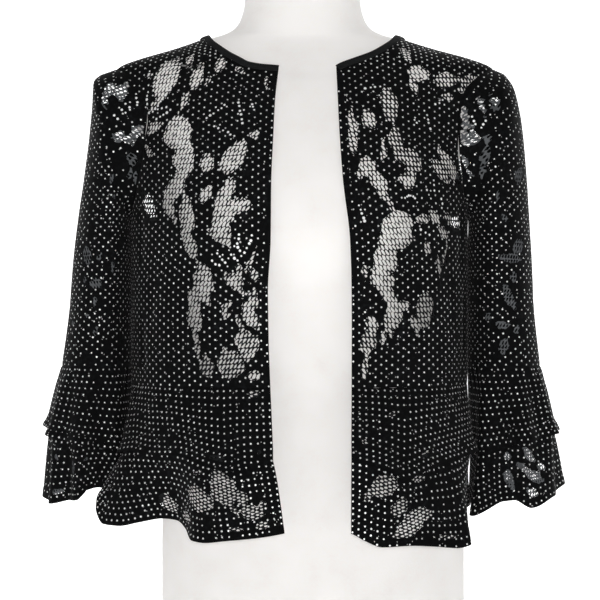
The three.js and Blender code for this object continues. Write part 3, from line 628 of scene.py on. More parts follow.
# The open net: six-sided cells, each a ring of yarn round its hole; in the listed dense ovals the holes
# shrink, a painted shade
netLook = {
    "inside": (0.004, 0.996), "under": 1.7, "fields": (-1.7, 0, 3.5), "sizes": (0.5, 0.78, 1),
    "varies": (0.84, 1.07), "dense": 0.8, "sunk": 0.35, "reach": 40,
    "swayU": (1.4, 15, 0.8, 27), "swayV": (1.2, 19, 0.6, 23), "ripple": 0.4}


def sway(x, y, size, span, twist, twistSpan):
    return size * np.sin(x / span + twist * np.sin(y / twistSpan))


def netMesh(panel, lace):
    wide, tall, *hole = lace["net"]
    reach = max(panel.width.max(), panel.length.max()) + netLook["reach"]
    i, j = np.meshgrid(np.arange(-int(reach / wide), int(reach / wide)),
                       np.arange(-int(reach / tall), int(reach / tall)))
    corner = np.array([[0, 2 / 3], [0.5, 1 / 3], [0.5, -1 / 3], [0, -2 / 3], [-0.5, -1 / 3], [-0.5, 1 / 3]])
    keys = np.array([[0, 4], [3, 2], [3, -2], [0, -4], [-3, -2], [-3, 2]])
    centre = np.stack([(i + (j % 2) * 0.5) * wide, j * tall], -1).reshape(-1, 2)
    key = np.stack([6 * i + 3 * (j % 2), 6 * j], -1).reshape(-1, 2)

    def pulled(x, y):
        if lace["netTurned"]:
            x, y = y, x
        u = x + sway(y, x, *netLook["swayU"]) + lace["lean"] * y
        v = y + sway(x, y, *netLook["swayV"])
        ripple = netLook["ripple"]
        return u + ripple * np.sin(1.9 * x + 1.1 * y), v + ripple * np.sin(1.3 * y - 1.7 * x)
    u, v = pulled(*centre.T)
    s, t = panel.share(u, v)
    low, high = netLook["inside"]
    within = (s > low) & (s < high) & (t > low) & (t < high)
    centre, key, s, t, u, v = (a[within] for a in (centre, key, s, t, u, v))
    field = knitField(panel, lace, u, v, s, t)
    shown = field < netLook["under"]
    centre, key, field = centre[shown], key[shown], field[shown]
    draw = np.random.default_rng(len(centre))
    size = np.interp(-field, netLook["fields"], netLook["sizes"])
    size = size * draw.uniform(*netLook["varies"], len(centre))
    # Painted shade: inside the dense ovals the holes shrink, so windows darken where the form behind lies in
    # shade
    size = size * np.where(ovals(u[shown], v[shown], lace["dense"]) > 0, netLook["dense"], 1)
    offsets = corner * np.array([wide, tall])
    outer = (centre[:, None] + offsets[None]).reshape(-1, 2)
    names = (key[:, None] + keys[None]).reshape(-1, 2)
    names, first, inverse = np.unique(names, axis=0, return_index=True, return_inverse=True)
    inverse = inverse.reshape(-1, 6)
    shared = outer[first]
    inner = (centre[:, None] + offsets[None] * np.array(hole) * size[:, None, None]).reshape(-1, 2)
    own = len(shared) + np.arange(len(inner)).reshape(-1, 6)
    u, v = pulled(*np.concatenate([shared, inner]).T)
    s, t = panel.share(u, v)
    s, t = np.clip(s, 0, 1), np.clip(t, 0, 1)
    u, v = panel.flat(s, t)
    ring = [np.stack([inverse[:, k], inverse[:, (k + 1) % 6], own[:, (k + 1) % 6], own[:, k]], 1)
            for k in range(6)]
    points = panel.place(s, t, reliefOf(panel, lace, u, v, s, t) - netLook["sunk"])
    return points, [np.concatenate(ring)], np.stack([u, v], 1)


# Foil dots: small raised discs in rows, each with its own brightness
dotLook = {
    "startU": 1.2, "startV": 0.45, "jitter": 0.18, "inside": 0.9, "margin": 1.3, "sizes": (0.8, 1.08),
    "beadJitter": 0.4, "beadRoom": 2.7, "beadSizes": (1.1, 1.6), "strayReach": 5, "strayInside": 1,
    "straySizes": (0.35, 0.65), "rim": 0.08, "crown": 0.22, "levels": 5,
    "spare": 40, "swayU": (0.5, 31), "swayV": (0.6, 37)}


def dotMesh(panel, lace, seed):
    stepU, stepV, stagger = lace["dots"]
    draw = np.random.default_rng(seed)
    low = panel.lead.min()
    columns = np.arange(int(low / stepU) - 2, int((low + panel.width.max()) / stepU) + dotLook["spare"])
    i, j = np.meshgrid(columns, np.arange(0, int(panel.length.max() / stepV) + 1))
    u = (i + 0.5 * stagger * (j % 2)).ravel() * stepU + dotLook["startU"]
    v = (j.ravel() + dotLook["startV"]) * stepV
    (sizeU, spanU), (sizeV, spanV) = dotLook["swayU"], dotLook["swayV"]
    u = u + draw.normal(0, dotLook["jitter"], u.size) + sizeU * np.sin(v / spanU)
    v = v + draw.normal(0, dotLook["jitter"], v.size) + sizeV * np.sin(u / spanV)
    s, t = panel.share(u, v)
    within = (s > 0) & (s < 1) & (t > 0) & (t < 1)
    u, v, s, t = u[within], v[within], s[within], t[within]

    def clear(u, v, s, t, inside):
        away = np.minimum.reduce(list(panel.edges(s, t).values()))
        return (knitField(panel, lace, u, v, s, t) > inside) & (away > dotLook["margin"])
    keep = clear(u, v, s, t, dotLook["inside"]) & (draw.random(len(u)) > lace["worn"])
    beads = np.array(lace["beads"], float).reshape(-1, 2)
    beads = beads + draw.normal(0, dotLook["beadJitter"], beads.shape)
    apart = np.hypot(u[:, None] - beads[:, 0], v[:, None] - beads[:, 1])
    keep &= ~(apart < dotLook["beadRoom"]).any(axis=1)
    u, v = np.concatenate([u[keep], beads[:, 0]]), np.concatenate([v[keep], beads[:, 1]])
    brightest = dotLook["levels"] - 1
    level = np.concatenate([draw.integers(1, brightest + 1, keep.sum()), np.full(len(beads), brightest)])
    radius = lace["dotRadius"] * draw.uniform(*dotLook["sizes"], len(u))
    radius[keep.sum():] *= draw.uniform(*dotLook["beadSizes"], len(beads))
    stray = draw.choice(len(u), int(len(u) * lace["faint"]), replace=False)
    reach = dotLook["strayReach"]
    strayU, strayV = (a[stray] + draw.uniform(-reach, reach, len(stray)) for a in (u, v))
    keep = clear(strayU, strayV, *panel.share(strayU, strayV), dotLook["strayInside"])
    u, v = np.concatenate([u, strayU[keep]]), np.concatenate([v, strayV[keep]])
    level = np.concatenate([level, np.zeros(keep.sum(), int)])
    radius = np.concatenate([radius, draw.uniform(*dotLook["straySizes"], keep.sum())])
    s, t = panel.share(u, v)
    base = panel.place(s, t, reliefOf(panel, lace, u, v, s, t))
    out = panel.place(s, t, 1 + 0 * s) - panel.place(s, t, 0 * s)
    along = unit(panel.place(s + 0.002, t, 0 * s) - panel.place(s - 0.002, t, 0 * s))
    across = unit(np.cross(out, along))
    turn = np.radians(np.arange(0, 360, 60))[None, :, None]
    ring = along[:, None] * np.cos(turn) + across[:, None] * np.sin(turn)
    rim = base[:, None] + out[:, None] * dotLook["rim"] + ring * radius[:, None, None]
    points = np.concatenate([base + out * dotLook["crown"], rim.reshape(-1, 3)])
    index = len(u) + np.arange(len(u) * 6).reshape(-1, 6)
    centre = np.arange(len(u))
    faces = np.concatenate([np.stack([centre, index[:, k], index[:, (k + 1) % 6]], 1) for k in range(6)])
    levels = np.concatenate([level, np.repeat(level, 6)])
    rimSpots = np.concatenate([np.cos(turn[0]), np.sin(turn[0])], 1)
    layout = np.concatenate([np.zeros((len(u), 2)), np.tile(rimSpots, (len(u), 1))])
    return points, [faces], layout, levels


# One object from several meshes, with a flat layout for its bake and a brightness for each dot
bakeLayout = {"size": 0.94, "margin": 0.005, "dotsAt": (0.975, 0.1), "dot": 0.012, "level": (0, 0.2)}


def lacePiece(name, panel, lace, finishes, seed):
    knit, net, dots = knitMesh(panel, lace), netMesh(panel, lace), dotMesh(panel, lace, seed)
    low = np.array([panel.lead.min(), 0])
    span = max((panel.lead + panel.width).max() - low[0], panel.length.max())
    layouts = [(part[2] - low) / span * bakeLayout["size"] + bakeLayout["margin"] for part in (knit, net)]
    levelSteps = dots[3][:, None] * np.array(bakeLayout["level"])
    layouts.append(np.array(bakeLayout["dotsAt"]) + dots[2] * bakeLayout["dot"] + levelSteps)
    glow = np.concatenate([np.zeros(len(knit[0]) + len(net[0])), (dots[3] + 1) / dotLook["levels"]])
    groups, slots, start = [], [], 0
    for number, part in enumerate((knit, net, dots)):
        for faces in part[1]:
            groups.append((faces if panel.facing > 0 or part is dots else faces[:, ::-1]) + start)
            slots.append(np.full(len(faces), number))
        start += len(part[0])
    points = np.concatenate([part[0] for part in (knit, net, dots)])
    piece = solidPiece(name, points, groups, finishes, np.concatenate(layouts), np.concatenate(slots))
    shine = piece.data.attributes.new("foilGlow", "FLOAT", "POINT")
    shine.data.foreach_set("value", glow.astype(np.float32))
    return piece


# An object from points in millimetres and groups of faces
def solidPiece(name, points, groups, finishes, layout=None, slots=None):
    mesh = bpy.data.meshes.new(name)
    metres = (points + shift) / 1000
    mesh.vertices.add(len(metres))
    mesh.vertices.foreach_set("co", metres.astype(np.float32).ravel())
    loops = np.concatenate([group.ravel() for group in groups]).astype(np.int32)
    totals = np.concatenate([np.full(len(group), group.shape[1]) for group in groups]).astype(np.int32)
    mesh.loops.add(len(loops))
    mesh.loops.foreach_set("vertex_index", loops)
    mesh.polygons.add(len(totals))
    mesh.polygons.foreach_set("loop_start", np.concatenate([[0], np.cumsum(totals)[:-1]]).astype(np.int32))
    mesh.polygons.foreach_set("loop_total", totals)
    if slots is not None:
        mesh.polygons.foreach_set("material_index", slots.astype(np.int32))
    mesh.polygons.foreach_set("use_smooth", np.ones(len(totals), bool))
    if layout is not None:
        bake = mesh.uv_layers.new(name="OFBake")
        bake.data.foreach_set("uv", layout[loops].astype(np.float32).ravel())
    mesh.update(calc_edges=True)
    mesh.validate()
    piece = bpy.data.objects.new(name, mesh)
    bpy.context.scene.collection.objects.link(piece)
    for finish in finishes:
        mesh.materials.append(finish)
    return piece


# A number or colour on its way through a material's nodes
class Value:
    def __init__(self, finish, socket):
        self.finish, self.socket = finish, socket

    def math(self, operation, first, second):
        return self.finish.node("ShaderNodeMath", {"operation": operation}, {0: first, 1: second})

    def __add__(self, other):
        return self.math("ADD", self, other)

    def __radd__(self, other):
        return self.math("ADD", other, self)

    def __mul__(self, other):
        return self.math("MULTIPLY", self, other)

    def __rmul__(self, other):
        return self.math("MULTIPLY", other, self)


# A material and the one method that makes its nodes
class Finish:
    def __init__(self, name):
        self.material = bpy.data.materials.new(name)
        self.material.use_nodes = True
        self.tree = self.material.node_tree
        self.shader = self.tree.nodes["Principled BSDF"]

    def node(self, kind, settings=None, sockets=None, out=0):
        made = self.tree.nodes.new(kind)
        for key, value in (settings or {}).items():
            if key == "stops":
                for k, (at, color) in enumerate(value):
                    ramp = made.color_ramp.elements
                    stop = ramp[k] if k < 2 else ramp.new(at)
                    stop.position, stop.color = at, color
            else:
                setattr(made, key, value)
        for key, value in (sockets or {}).items():
            self.join(made.inputs[key], value)
        return Value(self, made.outputs[out])

    def join(self, socket, value):
        if isinstance(value, Value):
            self.tree.links.new(value.socket, socket)
        else:
            socket.default_value = value

    def mixed(self, share, first, second):
        return self.node("ShaderNodeMix", {"data_type": "RGBA"}, {0: share, 6: first, 7: second}, 2)

    def noise(self, scale, detail, place):
        return self.node("ShaderNodeTexNoise", {}, {"Scale": scale, "Detail": detail, "Vector": place})

    def place(self):
        return self.node("ShaderNodeTexCoord", {}, {}, 3)

    def bump(self, height, distance, strength):
        sockets = {"Height": height, "Distance": distance, "Strength": strength}
        self.join(self.shader.inputs["Normal"], self.node("ShaderNodeBump", {}, sockets))

    def set(self, **values):
        for name, value in values.items():
            self.join(self.shader.inputs[name.replace("_", " ")], value)


def grey(value, warm=0.0):
    return (value * (1 + warm), value, value * (1 - warm), 1.0)


def ramp(finish, share, stops):
    return finish.node("ShaderNodeValToRGB", {"stops": stops}, {0: share})


# Dense black knit: fine stitches, and faint lighter specks in patches, painted light that stands in for light
# leaking through pinholes
knitLook = {"dark": grey(0.003, -0.06), "light": grey(0.015, -0.1), "stitch": 900, "paintedLeakSpeck": 260}


def knitFinish(name, look):
    finish = Finish(name)
    place = finish.place()
    cells = finish.node("ShaderNodeTexVoronoi", {}, {"Vector": place, "Scale": look["stitch"]})
    # Painted light: lighter specks, gathered in patches, lift the knit's colour where light would leak
    # through pinholes
    paintedLeakSpeck = ramp(finish, finish.noise(look["paintedLeakSpeck"], 3, place), [(0.5, grey(0)), (0.74, grey(1))])
    paintedLeakPatches = ramp(finish, finish.noise(24, 2, place), [(0.35, grey(0.15)), (0.7, grey(0.75))])
    finish.set(Base_Color=finish.mixed(paintedLeakSpeck * paintedLeakPatches, look["dark"], look["light"]), Roughness=0.85)
    finish.set(Specular_IOR_Level=0.06, Sheen_Weight=0.02, Sheen_Roughness=0.5)
    finish.bump(cells * 0.6 + finish.noise(480, 2, place) * 0.5, 0.0004, 0.6)
    return finish.material


# Net yarn: near black on the bodice and tiers, a paler grey on the sleeves and ruffles
yarnLooks = {"dark": ("net_yarn", 0.005, 0.024), "pale": ("net_yarn_pale", 0.02, 0.2)}


def netFinish(name, dark, light):
    finish = Finish(name)
    place = finish.place()
    share = finish.noise(700, 2, place) * 0.5 + finish.noise(60, 2, place) * 0.5
    tint = finish.mixed(share, grey(dark, -0.05), grey(light, -0.05))
    finish.set(Base_Color=tint, Roughness=0.8, Specular_IOR_Level=0.08)
    finish.bump(finish.noise(1500, 1, place), 0.0002, 0.5)
    return finish.material


# Silver foil: brightness comes from each dot's own value
foilLook = {"dark": grey(0.3), "light": grey(1.0), "metal": 0.2, "rough": 0.42}


def foilFinish():
    finish = Finish("foil_dots")
    glow = finish.node("ShaderNodeAttribute", {"attribute_name": "foilGlow"}, {}, 2)
    worn = finish.noise(900, 2, finish.place())
    tint = finish.mixed(glow * 0.8 + worn * 0.3, foilLook["dark"], foilLook["light"])
    finish.set(Base_Color=tint, Roughness=foilLook["rough"], Metallic=foilLook["metal"])
    finish.bump(worn, 0.0001, 0.4)
    return finish.material


tapeLook = {"dark": grey(0.005), "light": grey(0.022, -0.05), "ribs": 420}


def tapeFinish():
    finish = Finish("plain_tape")
    place = finish.place()
    ribs = finish.node("ShaderNodeTexWave", {"bands_direction": "Z"},
                       {"Vector": place, "Scale": tapeLook["ribs"]})
    fuzz = finish.noise(600, 3, place)
    finish.set(Base_Color=finish.mixed(fuzz, tapeLook["dark"], tapeLook["light"]), Roughness=0.9)
    finish.set(Sheen_Weight=0.03, Specular_IOR_Level=0.06)
    finish.bump(ribs * 0.5 + fuzz, 0.0004, 0.6)
    return finish.material


# Off-white jersey, slightly mottled, with a faint rib; its colour also glows faintly, painted light that
# keeps the cover bright where the lace shades it
jerseyLook = {"dark": grey(0.68, 0.03), "light": grey(0.88, 0.022), "glow": 0.28, "ribs": 300}


def jerseyFinish():
    finish = Finish("form_jersey")
    place = finish.place()
    mottled = finish.noise(34, 4, place)
    fine = finish.noise(420, 2, place)
    pale = finish.mixed(mottled * 0.8 + fine * 0.25, jerseyLook["dark"], jerseyLook["light"])
    ribs = finish.node("ShaderNodeTexWave", {"bands_direction": "X"},
                       {"Vector": place, "Scale": jerseyLook["ribs"]})
    finish.set(Base_Color=pale, Roughness=0.9, Specular_IOR_Level=0.2, Sheen_Weight=0.1)
    # Painted light: the cover glows with its own colour, lifting the shade that the lace casts on it
    finish.set(Emission_Color=pale, Emission_Strength=jerseyLook["glow"])
    finish.bump(ribs * 0.3 + fine * 0.6, 0.0003, 0.5)
    return finish.material


knit = knitFinish("lace_knit", knitLook)
foil = foilFinish()
yarns = {key: netFinish(*look) for key, look in yarnLooks.items()}
tape = tapeFinish()
jersey = jerseyFinish()
print("finishes made")


def settle(piece, nodes):
    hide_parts(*nodes)
    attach(piece, "root")


# Dress form: one smooth cover from its base over the shoulders to the flat neck top
formSize = {"columns": 144, "rows": 150, "shoulders": (585, 665, 60), "rings": (0.97, 0.6, 0.25)}


def buildForm():
    stops = formSections["z"]
    z = np.linspace(0, 1, formSize["rows"])
    z = np.unique(np.concatenate([z * stops[-1], stops, np.linspace(*formSize["shoulders"])]))
    angle = np.linspace(0, 2 * math.pi, formSize["columns"], endpoint=False)
    grid = sectionPoint(formSections, angle[None, :] + 0 * z[:, None], z[:, None] + 0 * angle[None, :])
    middles = np.array([[formSections["mid"][edge], 0, stops[edge]] for edge in (0, -1)])
    caps = [np.stack([middle + (ring - middle) * f for f in formSize["rings"]])
            for middle, ring in zip(middles, grid[[0, -1]])]
    grid = np.concatenate([caps[0][::-1], grid, caps[1]])
    count, columns = grid.shape[:2]
    first = np.arange(columns)
    after, last = np.roll(first, -1), (count - 1) * columns
    base = np.full(columns, count * columns)
    ends = np.concatenate([np.stack([base, after, first], 1),
                           np.stack([base + 1, first + last, after + last], 1)])
    points = np.concatenate([grid.reshape(-1, 3), middles])
    piece = solidPiece("form_cover", points, [ends, gridFaces(count, columns, True)], [jersey])
    settle(piece, ["dress_form"])
    return piece


form = buildForm()
print("dress form:", len(form.data.polygons), "faces")

# Lace on the flat cloth: ovals (x, y, long, short, degrees), stems (ends, bend, width), beads (ends, count)
rightFront = {  # the charts were placed by eye on the photo and carried to the cloth outside this script
    "windows": [
        (129, 313, 6, 4.3, -13), (111, 309, 28, 13, -68), (123, 280, 10, 3.5, -46), (88, 329, 12, 2.8, -86),
        (79, 309, 19, 6, -75), (90, 283, 15, 3.7, -69), (57, 323, 11, 4.6, -74), (67, 307, 6, 2.5, -73),
        (38, 317, 7, 3.4, 46), (9, 301, 9, 1.5, 84), (17, 245, 5.8, 5.3, 19), (96, 248, 20, 16, 83),
        (89, 222, 21, 12, 84), (99, 192, 25, 10, -57), (140, 252, 26, 7, -15), (138, 233, 12, 5.3, 36),
        (137, 176, 18, 10, 51), (64, 217, 11, 8, -87), (37, 221, 21, 11, -63), (86, 170, 12, 7, -80),
        (105, 173, 8, 6, 71), (99, 160, 5.3, 2.5, 75), (85, 164, 22, 8, 82), (78, 134, 15, 5.2, 71),
        (73, 121, 5.3, 2.6, 52), (64, 101, 19, 10, 75), (73, 72, 26, 8, 88), (71, 44, 18, 3.7, 85),
        (62, 21, 13, 7, 83), (30, 100, 21, 7, 35), (28, 111, 6, 3.4, 65), (17, 123, 11, 2.7, -72),
        (13, 107, 8, 4.3, 59), (36, 77, 8, 4, -27), (40, 70, 6, 3.7, -57), (17, 68, 18, 7, 62),
        (19, 43, 19, 10, -78), (27, 62, 8, 3.2, 60), (37, 22, 15, 14, -76), (42, 33, 7, 4.4, 71),
        (15, 12, 6, 4, -2.4), (46, 180, 20, 8, -66), (33, 173, 15, 8, -2.7), (48, 151, 16, 10, 64),
        (41, 137, 5.8, 3.3, 56), (57, 149, 7, 4.7, 18), (65, 184, 11, 5, -58), (18, 121, 8, 3.3, -71),
        (21, 96, 11, 5.7, 34), (41, 163, 9, 6, -59), (41, 196, 9, 4, -56), (79, 132, 16, 5.3, 64),
        (87, 150, 9, 5.6, 67), (60, 84, 9, 5, 68), (26, 51, 9, 4.3, -58), (15, 54, 5.7, 3, -68),
        (37, 81, 9, 3, -34), (15, 81, 7, 4.8, 50), (73, 50, 8, 4.2, 80)],
    "beads": [
        (133, 271, 106, 278, 5), (123, 264, 102, 274, 5), (136, 291, 133, 271, 3), (60, 256, 47, 248, 3),
        (46, 249, 36, 242, 3), (22, 280, 20, 270, 3), (131, 292, 133, 275, 4), (68, 262, 47, 278, 6),
        (36, 283, 30, 255, 6), (103, 300, 123, 273, 7), (30, 148, 32, 136, 3), (32, 136, 26, 124, 3),
        (17, 147, 25, 127, 5), (53, 129, 41, 118, 4), (39, 129, 29, 119, 3), (58, 122, 46, 115, 3)],
    # dense: painted shade, ovals where the net is made denser to darken windows over shaded form
    "dense": [
        (137, 179, 23, 14, 47), (37, 22, 15, 12, -7), (63, 20, 10, 9, -20), (18, 46, 12, 8, -58)],
    "stems": [
        (141, 236, 131, 218, 3.4, 4), (38, 73, 13, 87, -2.6, 3.8), (30, 76, 12, 53, 3.8, 4.3),
        (25, 111, 20, 99, 0, 4.3)],
    "ovals": [
        (22, 105, 4.2, 3.6, 10), (19, 94, 5.6, 4, 39)]}

leftFront = {
    "windows": [
        (69, 341, 20, 4.8, -77), (80, 313, 13, 9, -14), (76, 296, 9, 3.2, -66), (109, 305, 14, 9, 4.7),
        (137, 306, 19, 6, -8), (130, 296, 10, 5.6, 3), (113, 288, 6, 3.3, 3.2), (121, 213, 29, 7, -46),
        (105, 209, 17, 7, -48), (50, 276, 19, 9, -85), (29, 261, 12, 7, -64), (12, 252, 26, 5.5, -89),
        (42, 229, 10, 3.7, 81), (56, 235, 23, 7, -81), (67, 219, 15, 12, -32), (65, 203, 14, 10, -68),
        (26, 212, 12, 9, -76), (34, 199, 13, 8, -50), (40, 182, 12, 4.8, -60), (17, 203, 5, 3.3, -67),
        (8, 287, 5.8, 1.6, -89), (47, 149, 24, 17, 47), (35, 121, 20, 13, 76), (27, 102, 13, 8, -58),
        (36, 87, 17, 7, -64), (42, 70, 18, 8, -86), (13, 111, 9, 3.5, 86), (79, 162, 9, 4.2, 3.8),
        (94, 163, 11, 5.6, -53), (104, 150, 8, 5, -32), (124, 159, 17, 10, -20), (81, 132, 7, 3.5, -75),
        (105, 125, 13, 4, 75), (76, 73, 18, 12, 79), (65, 59, 12, 4, -74), (53, 79, 8, 5, 0.2),
        (20, 59, 11, 5.6, -79), (16, 45, 14, 8, 71), (13, 22, 13, 3, 84), (31, 48, 5, 2.8, 79),
        (96, 111, 15, 2.5, -85), (130, 202, 11, 5.5, -26), (38, 103, 8, 6, 52), (63, 144, 6, 4.3, -38),
        (37, 58, 11, 4, -68)],
    "beads": [
        (96, 277, 108, 285, 3), (104, 184, 105, 171, 3), (88, 269, 92, 251, 4), (75, 266, 77, 256, 3),
        (85, 192, 91, 180, 3), (95, 202, 96, 187, 3), (59, 181, 66, 185, 3), (66, 185, 72, 181, 3),
        (25, 294, 44, 297, 4), (13, 171, 16, 157, 4), (72, 153, 87, 145, 3)],
    # dense: painted shade, ovals where the net is made denser to darken windows over shaded form
    "dense": [
        (103, 213, 18, 13, -35), (74, 79, 18, 10, 75), (13, 48, 12, 9, -0.7), (127, 160, 24, 13, -7),
        (50, 276, 21, 11, -85), (58, 234, 26, 13, -79), (68, 219, 18, 15, -29), (119, 304, 31, 11, 3.3)],
    "stems": [
        (102, 170, 122, 146, 0, 2.8), (12, 101, 21, 110, 0, 3.3), (51, 255, 45, 233, -2.4, 4)],
    "ovals": [
        (62, 128, 16, 8, 17), (48, 211, 16, 9, -10)]}

backFar = {
    "windows": [
        (171, 181, 14, 9, 49), (-179, 163, 14, 7, 21), (-169, 207, 16, 10, 32), (-157, 171, 15, 9, 35),
        (-170, 215, 20, 10, 43)]}

rightSleeve = {
    "windows": [
        (87, 216, 10, 1.8, -68), (92, 204, 11, 1, -67), (104, 190, 15, 1.8, -54), (85, 184, 4.7, 3, 76),
        (90, 168, 3.5, 2.4, 38), (60, 108, 12, 5.4, -58), (93, 101, 7, 3, 87), (60, 86, 4.2, 2.8, -83),
        (73, 82, 7, 4.4, -3), (73, 66, 5.8, 2.5, -88), (44, 43, 4.8, 3, 3), (75, 109, 4, 2.6, 57),
        (76, 35, 4.7, 1.8, 85), (66, 51, 4.5, 2.2, 33), (46, 279, 17, 2.8, -63), (47, 293, 17, 2.7, -65),
        (75, 250, 17, 2.6, -79), (73, 238, 10, 1.8, -75), (88, 215, 11, 2, -64), (104, 189, 18, 2, -58)],
    "beads": [
        (58, 269, 64, 266, 3), (57, 279, 63, 272, 3), (52, 299, 62, 282, 4), (62, 256, 65, 254, 2)]}

rightSleeveFar = {
    "windows": [
        (-36, 286, 22, 8, 59), (-36, 303, 24, 7, 58), (-69, 258, 23, 4.3, 79), (-67, 244, 14, 3, 75)]}

leftSleeve = {
    "windows": [
        (84, 210, 17, 1.5, -65), (49, 189, 11, 6, -50), (73, 146, 7, 3, 34), (57, 120, 9, 6, -37),
        (68, 107, 13, 5, 7), (66, 90, 6, 3.8, -83), (72, 69, 13, 5.6, 63), (79, 42, 8, 3.5, -1),
        (66, 36, 5.5, 3.2, -70), (81, 21, 9, 4.7, -65), (98, 50, 4, 3, -36), (81, 169, 5.4, 1.8, -79),
        (66, 278, 19, 1.6, -68), (80, 241, 14, 2.6, -73), (93, 213, 19, 2.3, -74), (70, 265, 18, 2.2, -69),
        (76, 242, 13, 1.7, -71), (59, 273, 9, 1.2, -69), (54, 270, 9, 1.8, -69)],
    "beads": [
        (56, 280, 62, 265, 3), (66, 268, 71, 252, 3), (66, 254, 72, 244, 3)]}

leftSleeveFar = {
    "windows": [
        (-59, 286, 29, 5.8, 69), (-73, 251, 25, 6, 74), (-86, 221, 27, 6, 74), (-52, 281, 15, 3.5, 68),
        (-44, 277, 9, 5, 65)]}

rightRuffle = {
    "windows": [
        (66, 62, 7, 2.2, 4), (80, 40, 6, 2.4, 70), (96, 34, 6, 3, 20), (112, 18, 5, 4, -20),
        (56, 30, 4, 2, 40)]}

leftRuffle = {
    "windows": [
        (94, 29, 6, 4, -80), (93, 53, 12, 4.2, -74), (70, 27, 11, 4.7, -44), (56, 41, 5.6, 2, -39),
        (68, 46, 19, 5, -35), (69, 62, 8, 3.8, -42)]}

leftRuffleFar = {
    "windows": [
        (-104, 43, 10, 6, -45), (-110, 68, 14, 10, -84), (-68, 42, 18, 9, 24), (-56, 55, 7, 4.4, 32),
        (-68, 65, 29, 11, 30), (-71, 82, 14, 7, 14)]}

rightUpperTier = {
    "windows": [
        (56, 66, 10, 3.3, 17), (16, 4.8, 7, 3.7, 1.2), (13, 62, 3.8, 2, 55)]}

leftUpperTier = {
    "windows": [
        (13, 58, 4.7, 2.7, -16), (78, 67, 5, 3.7, -57), (38, 26, 4, 1.6, -42)]}

rightLowerTier = {
    "windows": [
        (52, 34, 20, 13, -72), (44, 58, 11, 3.7, -67), (36, 46, 13, 5, -73), (28, 62, 13, 8, -19),
        (17, 55, 8, 3.7, 57), (21, 77, 8, 4.3, 15), (80, 48, 18, 12, -0.2), (138, 72, 13, 10, -84),
        (111, 76, 15, 5, 14), (44, 79, 7, 2.5, -7), (78, 23, 7, 2, 23)]}

leftLowerTier = {
    "windows": [
        (32, 29, 15, 10, -39), (16, 44, 9, 4, -62), (47, 47, 13, 7, -67), (60, 63, 22, 11, -49),
        (72, 54, 11, 7, 8), (53, 76, 16, 5.2, -12), (69, 21, 9, 3, 9), (50, 11, 5.4, 3, -13),
        (94, 77, 13, 2, -3.2)]}


# A chart moved along its cloth, or turned over
def moved(chart, across=0, along=0, flip=False):
    sign = -1 if flip else 1
    out = {}
    for kind, rows in chart.items():
        if kind in ("windows", "ovals", "dense"):
            out[kind] = [(sign * x + across, y + along, a, b, sign * turn) for x, y, a, b, turn in rows]
        elif kind == "beads":
            out[kind] = [(sign * x1 + across, y1 + along, sign * x2 + across, y2 + along, count)
                         for x1, y1, x2, y2, count in rows]
        else:
            out[kind] = [(sign * x1 + across, y1 + along, sign * x2 + across, y2 + along, sign * bend, wide)
                         for x1, y1, x2, y2, bend, wide in rows]
    return out


def joined(*charts):
    out = {}
    for chart in charts:
        for kind, rows in chart.items():
            out[kind] = out.get(kind, []) + rows
    return out


# Gathers that run down from a seam, each a little different in length, width and depth
def gathers(width, count, length, depth, seed):
    draw = np.random.default_rng(seed)
    rows = []
    for k in range(count):
        x = width * ((k + draw.uniform(0.2, 0.8)) / count - 0.5)
        down = length * draw.uniform(0.55, 1.25)
        lean = draw.uniform(-0.16, 0.16) * down
        rows.append((x, -0.3 * down, x + lean, down, draw.uniform(-2, 2), draw.uniform(2.2, 4.2),
                     -depth * draw.uniform(0.5, 1.2)))
    return rows


seam = {"width": 2.6, "turned": False}
turned = {"width": turnedWidth, "turned": True}
plainLace = {
    "spacing": 2.0, "net": (3.9, 5, 0.76, 0.9), "lean": 0.12, "wobble": 1.0, "worn": 0.04,
    "dots": (11.2, 3.9, 1), "dotRadius": 1.0, "faint": 0.3, "yarn": "dark", "netTurned": False,
    "windows": [], "ovals": [], "stems": [], "beads": [], "dense": []}
sleeveLace = {
    "net": (3.3, 4.2, 0.66, 0.82), "lean": -0.5, "dotRadius": 0.95, "yarn": "pale", "faint": 0.45,
    "worn": 0.1}
ruffleLace = {
    "spacing": 1.9, "net": (2.8, 3.5, 0.56, 0.7), "lean": 0.4, "dotRadius": 0.93, "yarn": "pale",
    "dots": (6.3, 6.3, 0), "faint": 0.25, "worn": 0.08}
tierLace = {"net": (3.4, 4.2, 0.58, 0.7), "dots": (6.3, 6.3, 0), "worn": 0.06, "netTurned": True}


def laceWith(chart, **changes):
    lace = {**plainLace, **chart, **changes}
    lace["beads"] = [place for row in lace["beads"] for place in beadRow(*row)]
    return lace


def bandsOf(start, end, first, last):
    return {"start": start, "end": end, "first": first, "last": last}


